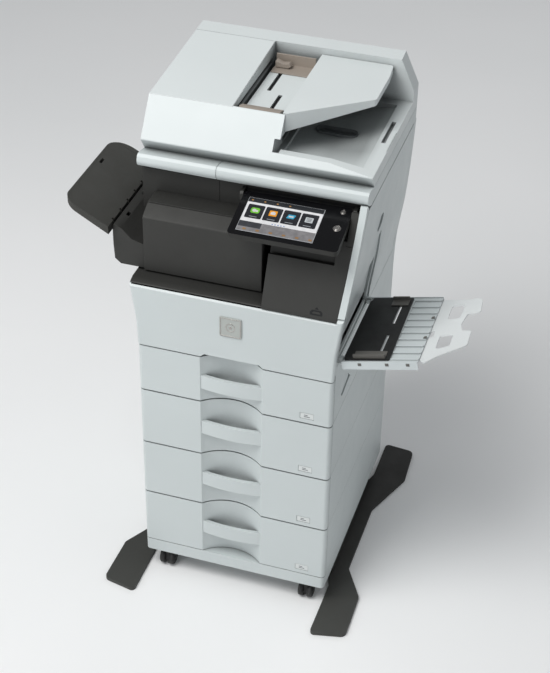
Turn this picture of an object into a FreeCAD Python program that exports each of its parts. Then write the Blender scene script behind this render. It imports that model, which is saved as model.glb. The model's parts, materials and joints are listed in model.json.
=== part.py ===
import FreeCAD, Part
import math
import os
import Sketcher

# Floor-standing photocopier: plinth on casters, four paper drawers, a flared upper body with a
# scanner and document feeder on top, a finisher and output tray on the left, a side door with
# the open bypass tray on the right.
# x runs to the right, y to the back, z up; the floor is z = 0. In the document the cabinet's
# middle is at x = y = 0, but every y below is measured from the drawer fronts unless a local
# frame is named. Lengths are mm, angles degrees.

Vector = FreeCAD.Vector
Rotation = FreeCAD.Rotation
Placement = FreeCAD.Placement
doc = FreeCAD.newDocument("photocopier")
sheet = doc.addObject("Spreadsheet::Sheet", "Dims")
sheet_rows = []
nodes = []


class Length:
    """A length in mm and the sheet expression that gives it."""

    def __init__(self, mm, text=None):
        self.mm = float(mm)
        self.text = text or ("(%.6f)" if mm < 0 else "%.6f") % mm
        self.driven = "Dims" in self.text

    def __add__(self, other):
        other = length(other)
        return Length(self.mm + other.mm, "(%s + %s)" % (self.text, other.text))

    def __radd__(self, other):
        return length(other) + self

    def __sub__(self, other):
        other = length(other)
        return Length(self.mm - other.mm, "(%s - %s)" % (self.text, other.text))

    def __mul__(self, factor):
        return Length(self.mm * factor, "(%s * %s)" % (self.text, length(factor).text))

    def __neg__(self):
        return Length(-self.mm, "(0 - %s)" % self.text)


def length(value):
    return value if isinstance(value, Length) else Length(value)


def dim(alias, value):
    """Put one driving dimension in the sheet."""
    sheet_rows.append(alias)
    row = len(sheet_rows)
    sheet.set("A%d" % row, alias)
    sheet.set("B%d" % row, repr(float(value)))
    sheet.setAlias("B%d" % row, alias)
    return Length(value, "Dims." + alias)


# ---------------------------------------------------------------- driving dimensions
HALF_WIDTH = dim("half_width", 215)
DEPTH = dim("cabinet_depth", 520)
ORIGIN_BACK = dim("origin_back", 260)       # drawer fronts to the cabinet's middle
ORIGIN_RIGHT = dim("origin_right", 46.0)    # cabinet's middle to the overall box's middle, in x
ORIGIN_FRONT = dim("origin_front", 10.42)   # the same, towards the front
BASE_BOTTOM = dim("base_bottom", 52)
BASE_TOP = dim("base_top", 84)
PITCH = dim("feeder_pitch", 146)            # height of one feeder unit
MAIN_BOTTOM = dim("main_bottom", 522)
COVER_BOTTOM = dim("cover_bottom", 641)     # lower edge of the front cover
GLASS_LEVEL = dim("glass_level", 1032)
TOP_HALF_WIDTH = dim("top_half_width", 243)
WALL = dim("wall", 5)                       # outer covers
PANEL_GAP = dim("panel_gap", 1.7)
FRONT_THICK = dim("panel_thick", 14)        # drawer fronts
SCOOP_X = dim("scoop_centre", -6.5)
SCOOP_RADIUS = dim("scoop_radius", 100.2)
SCOOP_FRONT = dim("scoop_axis_front", 72.2)     # axis, in front of the drawer fronts
SCOOP_WALL = dim("scoop_wall", 4)
HANDLE_RADIUS = dim("handle_radius", 370)
HANDLE_BACK = dim("handle_axis_back", 365.5)
HANDLE_THICK = dim("handle_thick", 7.5)
HANDLE_HEIGHT = dim("handle_height", 35)
BIN_HALF_WIDTH = dim("bin_half_width", 198)
BIN_WALL = dim("bin_wall", 3)
CASTER_X = dim("caster_x", 169)
CASTER_FRONT = dim("caster_front", 34)      # swivel axes, behind the drawer fronts
CASTER_REAR = dim("caster_rear", 488)
CASTER_TRAIL = dim("caster_trail", 10)
WHEEL_RADIUS = dim("wheel_radius", 20)
STEM_RADIUS = dim("stem_radius", 6)
FIT = dim("running_gap", 0.06)
PANEL_WIDTH = dim("panel_width", 226)
PANEL_LENGTH = dim("panel_length", 123)
PANEL_HEIGHT = dim("panel_height", 13)
PANEL_TILT = dim("panel_tilt", 14)
BYPASS_TILT = dim("bypass_tilt", 13)
FINISHER_LEFT = dim("finisher_left", -212)
FINISHER_RIGHT = dim("finisher_right", 44)
ROLLER_RADIUS = dim("roller_radius", 12)
doc.recompute()

CORNER_RADIUS = 9                           # upright corners of plinth, drawers and panel

# Upper body, both sides flaring upward: (z, half width)
FLARE = [(522, 215.0), (600, 215.0), (641, 215.2), (700, 217.5), (760, 225.5), (800, 231.0),
         (870, 236.5), (940, 240.5), (1000, 243.0)]

# Side covers of the upper body
SIDE_BOTTOM, SIDE_TOP = MAIN_BOTTOM.mm + 1, 998.5
SIDE_FRONT, SIDE_REAR = 16, 512

PIN_RADIUS = 3                              # pivot pins of control panel and bypass tray
PANEL_PIVOT = (99.5, 107, 986)
BYPASS_PIVOT = (222, 685)                   # x, z


# ---------------------------------------------------------------- document objects
def bind(obj, prop, value):
    if value.driven:
        obj.setExpression(prop, value.text)
    elif "." not in prop:
        setattr(obj, prop, value.mm)


def from_middle(y):
    """A y behind the drawer fronts, as the document has it."""
    return length(y) - ORIGIN_BACK


def place(obj, x, y, z, rotation=None):
    x, y, z = length(x), from_middle(y), length(z)
    obj.Placement = Placement(Vector(x.mm, y.mm, z.mm), rotation or Rotation())
    for axis, value in (("x", x), ("y", y), ("z", z)):
        bind(obj, "Placement.Base." + axis, value)


def box(x0, x1, y0, y1, z0, z1):
    obj = doc.addObject("Part::Box", "box")
    bind(obj, "Length", length(x1) - x0)
    bind(obj, "Width", length(y1) - y0)
    bind(obj, "Height", length(z1) - z0)
    place(obj, x0, y0, z0)
    return obj


TURNS = {"z": Rotation(), "x": Rotation(Vector(0, 1, 0), 90), "y": Rotation(Vector(1, 0, 0), -90)}


def cylinder(axis, x, y, z, radius, height):
    """Cylinder from (x, y, z) along +axis."""
    obj = doc.addObject("Part::Cylinder", "cyl")
    bind(obj, "Radius", length(radius))
    bind(obj, "Height", length(height))
    place(obj, x, y, z, TURNS[axis])
    return obj


def constrain(sketch, value, *constraint):
    index = sketch.addConstraint(Sketcher.Constraint(*constraint, value.mm))
    if value.driven:
        sketch.setExpression("Constraints[%d]" % index, value.text)


def draw_outline(sketch, points):
    """Closed polyline, every corner located from the sketch origin."""
    points = [(length(across), length(up)) for across, up in points]
    ends = [Vector(across.mm, up.mm, 0) for across, up in points]
    count = len(points)
    for i in range(count):
        sketch.addGeometry(Part.LineSegment(ends[i], ends[(i + 1) % count]), False)
    for i in range(count):
        sketch.addConstraint(Sketcher.Constraint("Coincident", i, 2, (i + 1) % count, 1))
    for i, (across, up) in enumerate(points):
        constrain(sketch, across, "DistanceX", -1, 1, i, 1)
        constrain(sketch, up, "DistanceY", -1, 1, i, 1)


def draw_circle(sketch, x, y, radius):
    x, y, radius = length(x), length(y), length(radius)
    curve = Part.Circle(Vector(x.mm, y.mm, 0), Vector(0, 0, 1), radius.mm)
    index = sketch.addGeometry(curve, False)
    constrain(sketch, x, "DistanceX", -1, 1, index, 3)
    constrain(sketch, y, "DistanceY", -1, 1, index, 3)
    constrain(sketch, radius, "Radius", index)


def sketched_prism(points, x0, x1):
    """(y, z) profile in a sketch, drawn out from x0 to x1."""
    sketch = doc.addObject("Sketcher::SketchObject", "profile")
    facing_x = Rotation(Vector(0, 1, 0), Vector(0, 0, 1), Vector(1, 0, 0), "XYZ")
    sketch.Placement = Placement(Vector(x0, 0, 0), facing_x)
    draw_outline(sketch, [(from_middle(y), z) for y, z in points])
    obj = doc.addObject("Part::Extrusion", "prism")
    obj.Base = sketch
    obj.DirMode = "Custom"
    obj.Dir = Vector(1, 0, 0)
    obj.LengthFwd = x1 - x0
    obj.Solid = True
    return obj


def fuse(*objects):
    obj = doc.addObject("Part::MultiFuse", "fuse")
    obj.Shapes = list(objects)
    obj.Refine = True
    return obj


def cut(base, *tools):
    for tool in tools:
        obj = doc.addObject("Part::Cut", "cut")
        obj.Base, obj.Tool = base, tool
        obj.Refine = True
        base = obj
    return base


def common(base, tool):
    obj = doc.addObject("Part::Common", "common")
    obj.Base, obj.Tool = base, tool
    return obj


def group(*objects):
    obj = doc.addObject("Part::Compound", "group")
    obj.Links = list(objects)
    return obj


def picked_edges(shape, pick):
    """Numbers of the edges whose middle point and chord pass the test."""
    numbers = []
    for number, edge in enumerate(shape.Edges, 1):
        middle = edge.valueAt((edge.FirstParameter + edge.LastParameter) / 2)
        ends = edge.Vertexes
        chord = ends[-1].Point - ends[0].Point if len(ends) > 1 else Vector(0, 0, 0)
        if pick(middle, chord, edge):
            numbers.append(number)
    return numbers


def along(chord, axis):
    size = abs(getattr(chord, axis))
    return size > 1 and abs(size - chord.Length) < 1e-3


def side_upright(middle, chord):
    return along(chord, "z") and abs(abs(middle.x) - HALF_WIDTH.mm) < 0.1


def failed(obj):
    return obj.Shape.isNull() or not obj.Shape.isValid() or "Invalid" in obj.State


def fillet(base, radius, pick):
    doc.recompute()
    edges = picked_edges(base.Shape, pick)
    obj = doc.addObject("Part::Fillet", "rounded")
    obj.Base = base
    obj.Edges = [(number, radius, radius) for number in edges]
    doc.recompute()
    # where the kernel can't build the fillet, the piece keeps its sharp edges
    if not edges or failed(obj):
        obj.Base = None
        doc.removeObject(obj.Name)
        return base
    return obj


def node(label, obj):
    """Name a finished piece and list it for export."""
    obj.Label = label
    nodes.append(obj)
    return obj


def feature(label, shape, rotation=None, base=None):
    """Finished piece from a plain shape; the placement moves it into the document's frame."""
    obj = doc.addObject("Part::Feature", label)
    obj.Shape = shape.removeSplitter()
    base = base or Vector(0, -ORIGIN_BACK.mm, 0)
    obj.Placement = Placement(base, rotation or Rotation())
    node(label, obj)


# ---------------------------------------------------------------- PartDesign bodies
def new_body(label):
    return node(label, doc.addObject("PartDesign::Body", label))


def sketch_on(body, plane, offset, outline=None, circles=()):
    """Sketch on a body plane (z: XY, x: YZ) moved out by offset."""
    sketch = body.newObject("Sketcher::SketchObject", "Sketch")
    role = {"z": "XY_Plane", "x": "YZ_Plane"}[plane]
    support = [part for part in body.Origin.OriginFeatures if part.Role == role][0]
    sketch.AttachmentSupport = [(support, "")]
    sketch.MapMode = "FlatFace"
    offset = length(offset)
    sketch.AttachmentOffset = Placement(Vector(0, 0, offset.mm), Rotation())
    if offset.driven:
        sketch.setExpression("AttachmentOffset.Base.z", offset.text)
    if outline:
        draw_outline(sketch, outline)
    for circle in circles:
        draw_circle(sketch, *circle)
    return sketch


def pad(body, sketch, depth, reverse=False):
    step = body.newObject("PartDesign::Pad", "Pad")
    step.Profile = sketch
    step.Reversed = reverse
    bind(step, "Length", length(depth))
    doc.recompute()


def pocket(body, sketch, depth, reverse=False):
    before = body.Shape.Volume
    step = body.newObject("PartDesign::Pocket", "Pocket")
    step.Profile = sketch
    step.Reversed = reverse
    bind(step, "Length", length(depth))
    doc.recompute()
    if body.Shape.Volume > before - 0.01:
        raise SystemExit("a pocket cut nothing in " + body.Label)


def body_fillet(body, radius, pick):
    base = body.Tip
    names = ["Edge%d" % number for number in picked_edges(base.Shape, pick)]
    step = body.newObject("PartDesign::Fillet", "Fillet")
    step.Base = (base, names)
    step.Radius = radius
    doc.recompute()
    # where the kernel can't build the fillet, the body keeps its sharp edges
    if failed(step):
        body.removeObject(step)
        doc.removeObject(step.Name)
        body.Tip = base
        doc.recompute()


def rectangle(x0, x1, y0, y1):
    return [(x0, y0), (x1, y0), (x1, y1), (x0, y1)]


# ---------------------------------------------------------------- plain shapes
def block(x0, x1, y0, y1, z0, z1):
    return Part.makeBox(x1 - x0, y1 - y0, z1 - z0, Vector(x0, y0, z0))


def blocks(*rows):
    return [block(*row) for row in rows]


def rod(axis, x, y, z, radius, height):
    direction = {"x": Vector(1, 0, 0), "y": Vector(0, 1, 0), "z": Vector(0, 0, 1)}[axis]
    return Part.makeCylinder(radius, height, Vector(x, y, z), direction)


def extruded(points, travel):
    return Part.Face(Part.makePolygon(points + points[:1])).extrude(travel)


def prism_x(points, x0, x1):
    """Prism of a (y, z) profile."""
    return extruded([Vector(x0, y, z) for y, z in points], Vector(x1 - x0, 0, 0))


def prism_y(points, y0, y1):
    """Prism of an (x, z) profile."""
    return extruded([Vector(x, y0, z) for x, z in points], Vector(0, y1 - y0, 0))


def prism_z(corners, z0, z1):
    """Prism of an outline of (x, y, corner radius)."""
    points = [Vector(x, y, z0) for x, y, _ in corners]
    count = len(points)
    bends = []                              # start, middle and end of each corner
    for i, corner in enumerate(points):
        radius = corners[i][2]
        if not radius:
            bends.append((corner, None, corner))
            continue
        back = (points[i - 1] - corner).normalize()
        ahead = (points[(i + 1) % count] - corner).normalize()
        half = math.acos(max(-1, min(1, back.dot(ahead)))) / 2
        reach = radius / math.tan(half)
        inward = (back + ahead).normalize()
        middle = corner + inward * (radius / math.sin(half) - radius)
        bends.append((corner + back * reach, middle, corner + ahead * reach))
    edges = []
    for i, (start, middle, end) in enumerate(bends):
        if middle is not None:
            edges.append(Part.Arc(start, middle, end).toShape())
        following = bends[(i + 1) % count][0]
        if (following - end).Length > 1e-6:
            edges.append(Part.makeLine(end, following))
    return Part.Face(Part.Wire(edges)).extrude(Vector(0, 0, z1 - z0))


def carve(shape, *tools):
    """Cut the tools one after the other."""
    for tool in tools:
        shape = shape.cut(tool)
    return shape


def rounded(shape, radius, edges):
    # guards a fillet the kernel may refuse: the edges then stay sharp
    try:
        result = shape.makeFillet(radius, edges)
    except Exception:
        return shape
    return result if result.isValid() else shape


def half_width_at(z):
    for (z0, width0), (z1, width1) in zip(FLARE, FLARE[1:]):
        if z <= z1:
            return width0 + (width1 - width0) * (z - z0) / (z1 - z0)
    return FLARE[-1][1]


def flare_edge(z0, z1, side, inset):
    """Spline up one side of the upper body; side is 1 on the right, -1 on the left."""
    count = max(2, int((z1 - z0) / 30) + 1)
    heights = [z0 + (z1 - z0) * i / (count - 1) for i in range(count)]
    curve = Part.BSplineCurve()
    curve.interpolate([Vector(side * (half_width_at(z) - inset), 0, z) for z in heights])
    return curve.toShape()


def between(first, second, y0, y1):
    """Solid between two flare edges."""
    top = Part.makeLine(first.Vertexes[-1].Point, second.Vertexes[-1].Point)
    bottom = Part.makeLine(second.Vertexes[0].Point, first.Vertexes[0].Point)
    face = Part.Face(Part.Wire([first, top, second, bottom]))
    face.translate(Vector(0, y0, 0))
    return face.extrude(Vector(0, y1 - y0, 0))


def side_skin(side, z0, z1, y0, y1, thick, inset=0.0):
    """Skin that follows one flared side."""
    outer = flare_edge(z0, z1, side, inset)
    inner = flare_edge(z0, z1, side, inset + thick)
    return between(outer, inner, y0, y1)


def side_to_side(z0, z1, y0, y1, inset=0.0):
    """Solid from one flared side to the other."""
    return between(flare_edge(z0, z1, 1, inset), flare_edge(z0, z1, -1, inset), y0, y1)


# ================================================================ base, casters, stabilisers
def base_plinth():
    skirt, boss_radius, boss_height, stem_depth = 6, 15, 25, 20
    axes = [(CASTER_X * side, from_middle(y))
            for side in (-1, 1) for y in (CASTER_FRONT, CASTER_REAR)]
    plinth = new_body("base_plinth")
    outline = rectangle(-HALF_WIDTH, HALF_WIDTH, from_middle(0), from_middle(DEPTH))
    pad(plinth, sketch_on(plinth, "z", BASE_BOTTOM, outline), BASE_TOP - BASE_BOTTOM)
    hollow = rectangle(-HALF_WIDTH + skirt, HALF_WIDTH - skirt,
                       from_middle(skirt), from_middle(DEPTH - skirt))
    pocket(plinth, sketch_on(plinth, "z", BASE_BOTTOM, hollow), 24, reverse=True)
    bosses = [(x, y, boss_radius) for x, y in axes]
    pad(plinth, sketch_on(plinth, "z", BASE_BOTTOM, circles=bosses), boss_height)
    sockets = [(x, y, STEM_RADIUS + FIT) for x, y in axes]
    pocket(plinth, sketch_on(plinth, "z", BASE_BOTTOM, circles=sockets), stem_depth, reverse=True)
    body_fillet(plinth, CORNER_RADIUS, lambda middle, chord, edge: side_upright(middle, chord))


def caster(place_name, x, swivel_y):
    """Yoke with a cap and stem, and twin wheels on one axle."""
    axle_y = swivel_y - CASTER_TRAIL
    axle_radius, outer_face, wheel_width = 3, 16.5, 12
    cap = common(cylinder("x", x - 15, axle_y, WHEEL_RADIUS, WHEEL_RADIUS + 5, 30),
                 box(x - 15, x + 15, axle_y - 17, swivel_y + 10, 42.5, BASE_BOTTOM + 10))
    yoke = fuse(box(x - 4, x + 4, axle_y - 12, swivel_y + 8, 12, 43), cap,
                cylinder("z", x, swivel_y, 42.5, 13, 5.5),
                cylinder("z", x, swivel_y, 47, STEM_RADIUS, BASE_BOTTOM + 18 - 47))
    bore = cylinder("x", x - 6, axle_y, WHEEL_RADIUS, axle_radius + FIT, 12)
    node("caster_fork_" + place_name, cut(yoke, bore))

    def wheel_rim(middle, chord, edge):
        return (edge.Curve.TypeId == "Part::GeomCircle" and edge.Curve.Radius > 19
                and abs(abs(middle.x - x.mm) - outer_face) < 0.2)

    left = cylinder("x", x - outer_face, axle_y, WHEEL_RADIUS, WHEEL_RADIUS, wheel_width)
    right = cylinder("x", x + (outer_face - wheel_width), axle_y, WHEEL_RADIUS,
                     WHEEL_RADIUS, wheel_width)
    axle = cylinder("x", x - outer_face, axle_y, WHEEL_RADIUS, axle_radius, 2 * outer_face)
    node("caster_wheels_" + place_name, fillet(fuse(left, right, axle), 3, wheel_rim))


def casters():
    for row, y in (("front", CASTER_FRONT), ("rear", CASTER_REAR)):
        for column, side in (("left", -1), ("right", 1)):
            caster(row + "_" + column, CASTER_X * side, y)


# Right floor stabiliser in plan: (x, y, corner radius)
FOOT = [(211, -97, 9), (290, -80, 14), (288, 45, 12), (241, 128, 22), (241, 345, 22),
        (291, 478, 16), (286, 588, 14), (213, 595, 10), (213, 470, 8), (203.5, 440, 8),
        (203.5, 85, 8), (212, 60, 8), (212, 5, 10)]


def stabilizers():
    foot_top, flange_bottom = 8, 46.5
    web = block(205, 209, 100, 430, foot_top, flange_bottom)
    flange = block(186, 209, 84, 430, flange_bottom, BASE_BOTTOM.mm)
    right = prism_z(FOOT, 0, foot_top).fuse([web, flange]).removeSplitter()
    left = right.mirror(Vector(0, 0, 0), Vector(1, 0, 0))
    feature("stabilizers", Part.makeCompound([right, left]))


# ================================================================ feeder cases and drawers
def feeder_cases():
    wall = 6
    front = FRONT_THICK + 1                 # cutters start just ahead of the case
    cases = []
    for i in range(3):
        bottom = BASE_TOP + PITCH * i
        top = bottom + PITCH
        shell = cut(box(-HALF_WIDTH, HALF_WIDTH, FRONT_THICK + 2, DEPTH, bottom + 0.5, top - 0.3),
                    box(-HALF_WIDTH + wall, HALF_WIDTH - wall, front, DEPTH - wall,
                        bottom + wall, top - wall),
                    box(-92, 79, front, 48, bottom, top))
        rails = [box(x0, x1, 60, DEPTH - 5, bottom + 5.5, bottom + 9)
                 for x0, x1 in ((-HALF_WIDTH + 5, -HALF_WIDTH + 32),
                                (HALF_WIDTH - 32, HALF_WIDTH - 5))]
        cases.append(fillet(fuse(shell, *rails), CORNER_RADIUS,
                            lambda middle, chord, edge: side_upright(middle, chord)
                            and middle.y > 0))
    node("feeder_cases", group(*cases))


def drawer_front(number, bottom, top, handle_z):
    """Slab with a round scoop bulging back and a bowed handle bar across it."""
    bottom, top = bottom + PANEL_GAP, top - PANEL_GAP
    slab = box(-HALF_WIDTH, HALF_WIDTH, 0, FRONT_THICK, bottom, top)
    bulge = common(cylinder("z", SCOOP_X, -SCOOP_FRONT, bottom,
                            SCOOP_RADIUS + SCOOP_WALL, top - bottom),
                   box(-120, 110, 1, 60, bottom, top))
    shell = cut(fuse(slab, bulge),
                cylinder("z", SCOOP_X, -SCOOP_FRONT, bottom - 1, SCOOP_RADIUS, top - bottom + 2))
    shell = fillet(shell, CORNER_RADIUS,
                   lambda middle, chord, edge: side_upright(middle, chord)
                   and middle.y < 1 - ORIGIN_BACK.mm)
    ring = cut(cylinder("z", SCOOP_X, HANDLE_BACK, handle_z, HANDLE_RADIUS, HANDLE_HEIGHT),
               cylinder("z", SCOOP_X, HANDLE_BACK, handle_z - 1,
                        HANDLE_RADIUS - HANDLE_THICK, HANDLE_HEIGHT + 2))
    bar = common(ring, box(-77, 64, -25, 13, handle_z - 1, HANDLE_HEIGHT + (handle_z + 1)))
    # the last cut is the shallow window for the paper-size card, lower right
    node("drawer_front_" + number,
         cut(fuse(shell, bar), box(146, 177, -1, 1.2, bottom + 10, bottom + 26)))


def drawer_bin(number, bottom, top):
    """Open box, notched in front for the scoop and lowered at the back."""
    notch_left, notch_right, notch_back, back = -130, 118, 47, 480
    rim = top - 16.4
    front = from_middle(FRONT_THICK)
    tray = new_body("drawer_bin_" + number)
    outline = [(-BIN_HALF_WIDTH, front), (notch_left, front),
               (notch_left, from_middle(notch_back)), (notch_right, from_middle(notch_back)),
               (notch_right, front), (BIN_HALF_WIDTH, front),
               (BIN_HALF_WIDTH, from_middle(back)), (-BIN_HALF_WIDTH, from_middle(back))]
    pad(tray, sketch_on(tray, "z", bottom + 9.6, outline), top - bottom - 26)
    well = rectangle(-BIN_HALF_WIDTH + BIN_WALL, BIN_HALF_WIDTH - BIN_WALL,
                     from_middle(50), from_middle(477))
    pocket(tray, sketch_on(tray, "z", rim, well), top - bottom - 29)
    lowered = rectangle(-BIN_HALF_WIDTH + 20, BIN_HALF_WIDTH - 20,
                        from_middle(462), from_middle(back + 1))
    pocket(tray, sketch_on(tray, "z", rim, lowered), 30)


# Drawers from the top: number, bottom, top, bottom of the handle
DRAWERS = [("1", MAIN_BOTTOM, COVER_BOTTOM, 556),
           ("2", BASE_TOP + PITCH * 2, MAIN_BOTTOM, 433),
           ("3", BASE_TOP + PITCH, BASE_TOP + PITCH * 2, 287),
           ("4", BASE_TOP, BASE_TOP + PITCH, 141)]


def drawers():
    for number, bottom, top, handle_z in DRAWERS:
        drawer_front(number, bottom, top, handle_z)
        drawer_bin(number, bottom, top)


# ================================================================ main frame and outer covers
def main_frame():
    """Sheet-metal frame: floor, shelf, back, two stepped sides, cross members and rails."""
    half, metal, rear = 207, 3, 500
    bottom, top = SIDE_BOTTOM, 950
    inner = half - metal
    left = [(24, bottom), (rear, bottom), (rear, top), (262, top), (262, 790), (24, 790)]
    right = left[:4] + [(262, 870), (60, 870), (60, 790), (24, 790)]
    sheets = [box(-half, half, 60, rear, bottom, bottom + metal),
              box(-half, half, 60, rear, 645, 645 + metal),
              box(-half, half, rear - metal, rear, bottom, top),
              sketched_prism(left, -half, -inner),
              sketched_prism(right, inner, half),
              box(-half, half, 480, rear, top - metal, top),
              box(-half, half, 265, 285, top - metal, top),
              box(-half, -183, 60, rear, 525, 531),
              box(183, half, 60, rear, 525, 531)]
    node("main_frame", cut(fuse(*sheets), box(203, 208, 70, 255, 655, 862)))


def left_cover():
    cover = side_skin(-1, SIDE_BOTTOM, SIDE_TOP, SIDE_FRONT, SIDE_REAR, WALL.mm)
    feature("left_cover", cover.cut(block(-250, -180, 10, 262, 790, 1001)))


def right_cover():
    """Frame around the side door, with a slanted column at its front."""
    door_opening = [(20, 671), (20, 801), (110, 1001), (491, 1001), (491, 671)]
    front_corner = [(0, 800), (-20, 1001), (92, 1001), (3, 803), (2, 803), (2, 795)]
    column_profile = [(3, 803), (95.6, 1008), (98, 1011.5), (103, 1011.5), (106, 1007.5),
                      (112, 1002.5), (112, 998.5), (107.3, 998.5), (19.5, 803)]
    grip_recess = [(65.6, 566.2), (125.1, 580.6), (142.9, 560.7), (80.7, 549.6)]
    cover = carve(side_skin(1, SIDE_BOTTOM, SIDE_TOP, SIDE_FRONT, SIDE_REAR, WALL.mm),
                  prism_x(door_opening, 190, 250), prism_x(front_corner, 190, 250))
    column = side_skin(1, 803, 1012, -20, 130, 14).common(prism_x(column_profile, 190, 250))
    cover = cover.cut(prism_x(grip_recess, 212.4, 230))
    feature("right_cover", cover.fuse(column))


# Rear cover screws: (x, z)
SCREWS = [(-195, 540), (195, 540), (-195, 760), (195, 760), (-205, 960), (205, 960)]
REAR_FACE = SIDE_REAR + WALL.mm


def rear_cover():
    """Flat plate with louvres, a socket opening and screw holes."""
    cover = side_to_side(524, SIDE_TOP, SIDE_REAR, REAR_FACE, 1)
    louvres = [block(-140, 20, 511, 518, 600 + 12 * k, 604 + 12 * k) for k in range(9)]
    holes = [rod("y", x, 511, z, 2.15, 7) for x, z in SCREWS]
    feature("rear_cover", carve(cover, *louvres, block(96, 152, 511, 518, 560, 600), *holes))


def case_screws():
    screws = []
    for x, z in SCREWS:
        screw = fuse(cylinder("y", x, REAR_FACE, z, 4, 2.4),
                     cylinder("y", x, 512.5, z, 2, 5))
        screws.append(cut(screw, box(x - 3, x + 3, 518.2, 520, z - 0.5, z + 0.5)))
    node("case_screws", group(*screws))


def front_cover():
    cover = carve(
        side_to_side(COVER_BOTTOM.mm + 1.2, 800, 0, 15),
        side_to_side(645, 796, 4, 16, 4),
        # top and bottom edges, stepped and chamfered
        prism_x([(-1, 793), (8, 801), (-1, 801)], -250, 250),
        prism_x([(9, 640), (16, 640), (16, 653), (9, 653)], -250, 250),
        prism_x([(7.5, 791), (16, 791), (16, 801), (7.5, 801)], -250, 250),
        prism_x([(-1, 786.5), (5.5, 791.6), (16, 791.6), (16, 801), (-1, 801)], -250, 216.4),
        # notch in the lower edge, over the scoop
        prism_y([(-77, 640), (-66, 649.5), (55, 649.5), (66, 640)], -1, 16))
    uprights = [edge for edge in cover.Edges
                if abs(edge.BoundBox.YMin) < 0.01 and abs(edge.BoundBox.YMax) < 0.01
                and edge.BoundBox.ZLength > 100]
    feature("front_cover", rounded(cover, 6, uprights))


def badge_plate():
    node("badge_plate", fillet(box(-31, 17, -2.2, 0, 708, 756), 3,
                               lambda middle, chord, edge: along(chord, "y")))


# ================================================================ inner cover and fascia
def slant(z, behind=0.0):
    """y of the slanted right front at height z."""
    return 3.5 + (z - 803) * 0.4516 + behind


def inner_cover():
    """Shelf over the drawers, wall behind it, and the recess under the control panel."""
    shelf = prism_x([(6.2, 792.2), (130, 792.2), (130, 798), (22, 798), (8, 794.2)], -241, 56)
    cover = shelf.common(side_to_side(780, 810, 0, 140, 1))
    cheek = [(14, 792.2), (53, 881), (53, 885), (130, 885), (130, 792.2)]
    recess_wall = [(54.4, 884), (slant(946, 9), 946), (130, 946), (130, 943),
                   (slant(943, 12), 943), (58.4, 884)]
    cover = cover.fuse([block(-241, 227, 125, 130, 798, 999),
                        prism_x(cheek, 57, 60),
                        prism_x(recess_wall, 57, 212),
                        block(57, 216, 53, 130, 881, 885),
                        block(-241, -237, 125, 262, 905, 998)])
    cover = cover.fuse(blocks((52, 60, 8.5, 130, 792.2, 798)))
    cheek_front = [(-40, 780), (4, 780), (56, 881), (56, 881.1), (-40, 881)]
    cover = carve(cover, block(60.2, 230, 120, 131, 790, 880.8),
                  block(-245, -212.2, 124, 131, 801.5, 904),
                  prism_x(cheek_front, 56.5, 60.5))
    # lugs that carry the control panel's pivot pins
    lug = [(100, 978), (126, 978), (126, 996), (104, 996), (100, 992)]
    for x0 in (-22.0, 213.6):
        cover = cover.fuse(prism_x(lug, x0, x0 + 7))
        cover = cover.cut(rod("x", x0 - 1, *PANEL_PIVOT[1:], PIN_RADIUS + FIT.mm, 9))
    feature("inner_cover", cover.cut(block(-73.6, -72.6, 124, 126.2, 949, 1000)))


def right_fascia():
    """Slanted front plate, open at the upper left for the control panel."""
    plate = prism_x([(0.9, 793), (slant(801), 801), (slant(998), 998), (slant(998, 5), 998),
                     (slant(801, 5), 801), (5.9, 793)], 57, 232)
    plate = plate.common(side_to_side(790, 1000, -10, 140, 14.6))
    surface_layer = prism_x([(slant(930, -2), 930), (slant(940, -2), 940),
                             (slant(940, 1.2), 940), (slant(930, 1.2), 930)], 200, 240)
    groove = block(212, 240, 60, 66, 935.6, 936.6).common(surface_layer)
    feature("right_fascia", carve(plate, block(56, 194, -10, 140, 898, 945.1),
                                  block(56, 213, -10, 140, 945, 1000), groove))


# ================================================================ scanner
# Housing seen from the side, with the rounded lip in front: (y, z)
HOUSING = [(130, 999.2), (118, 1003.5), (107, 1010.5), (101.7, 1018), (100.5, 1026),
           (103, 1034), (109, 1038.5), (121, 1037.5), (145, 1032.5), (160, GLASS_LEVEL.mm),
           (506, GLASS_LEVEL.mm), (506, 999.2)]
# What the seam leaves of the lip: (y, z)
SEAM_BOTTOM = [(131, 1001), (119, 1005), (108.2, 1012), (103, 1018.6), (101.8, 1026),
               (104.2, 1033.2), (109.6, 1037.2), (121, 1036.2), (150, 1030), (150, 1001)]


def scanner_housing():
    half = TOP_HALF_WIDTH.mm
    housing = prism_x(HOUSING, -half, half)
    under_lip = [(-244, 990), (215, 990), (215, 1004.5), (-244, 1013)]
    seam = block(-73.7, -72.6, 90, 146, 995, 1045).cut(prism_x(SEAM_BOTTOM, -80, -60))
    housing = carve(housing, prism_y(under_lip, 90, 124), seam)
    housing = housing.fuse(block(-226, 226, 140, 502, 952, 1000))
    housing = carve(housing, block(-222, 222, 150, 494, 956, 1029),
                    block(-216, 216, 162, 482, 1020, 1040))
    # carriage rod and the ledge behind it
    housing = housing.fuse([rod("x", -223, 300, 984, 4, 446),
                            block(-223, 223, 488, 494.5, 990, 993)])
    # seat of the glass
    housing = housing.cut(block(-219, 219, 159, 485, 1029, 1040))
    lip_edges = [edge for edge in housing.Edges
                 if edge.BoundBox.XLength > 480 and edge.BoundBox.YMax < 125
                 and edge.BoundBox.ZMax > 1005]
    feature("scanner_housing", rounded(housing, 2.5, lip_edges))


def platen_glass():
    node("platen_glass", box(-218.5, 218.5, 159.5, 484.5, 1029.05, GLASS_LEVEL))


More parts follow.
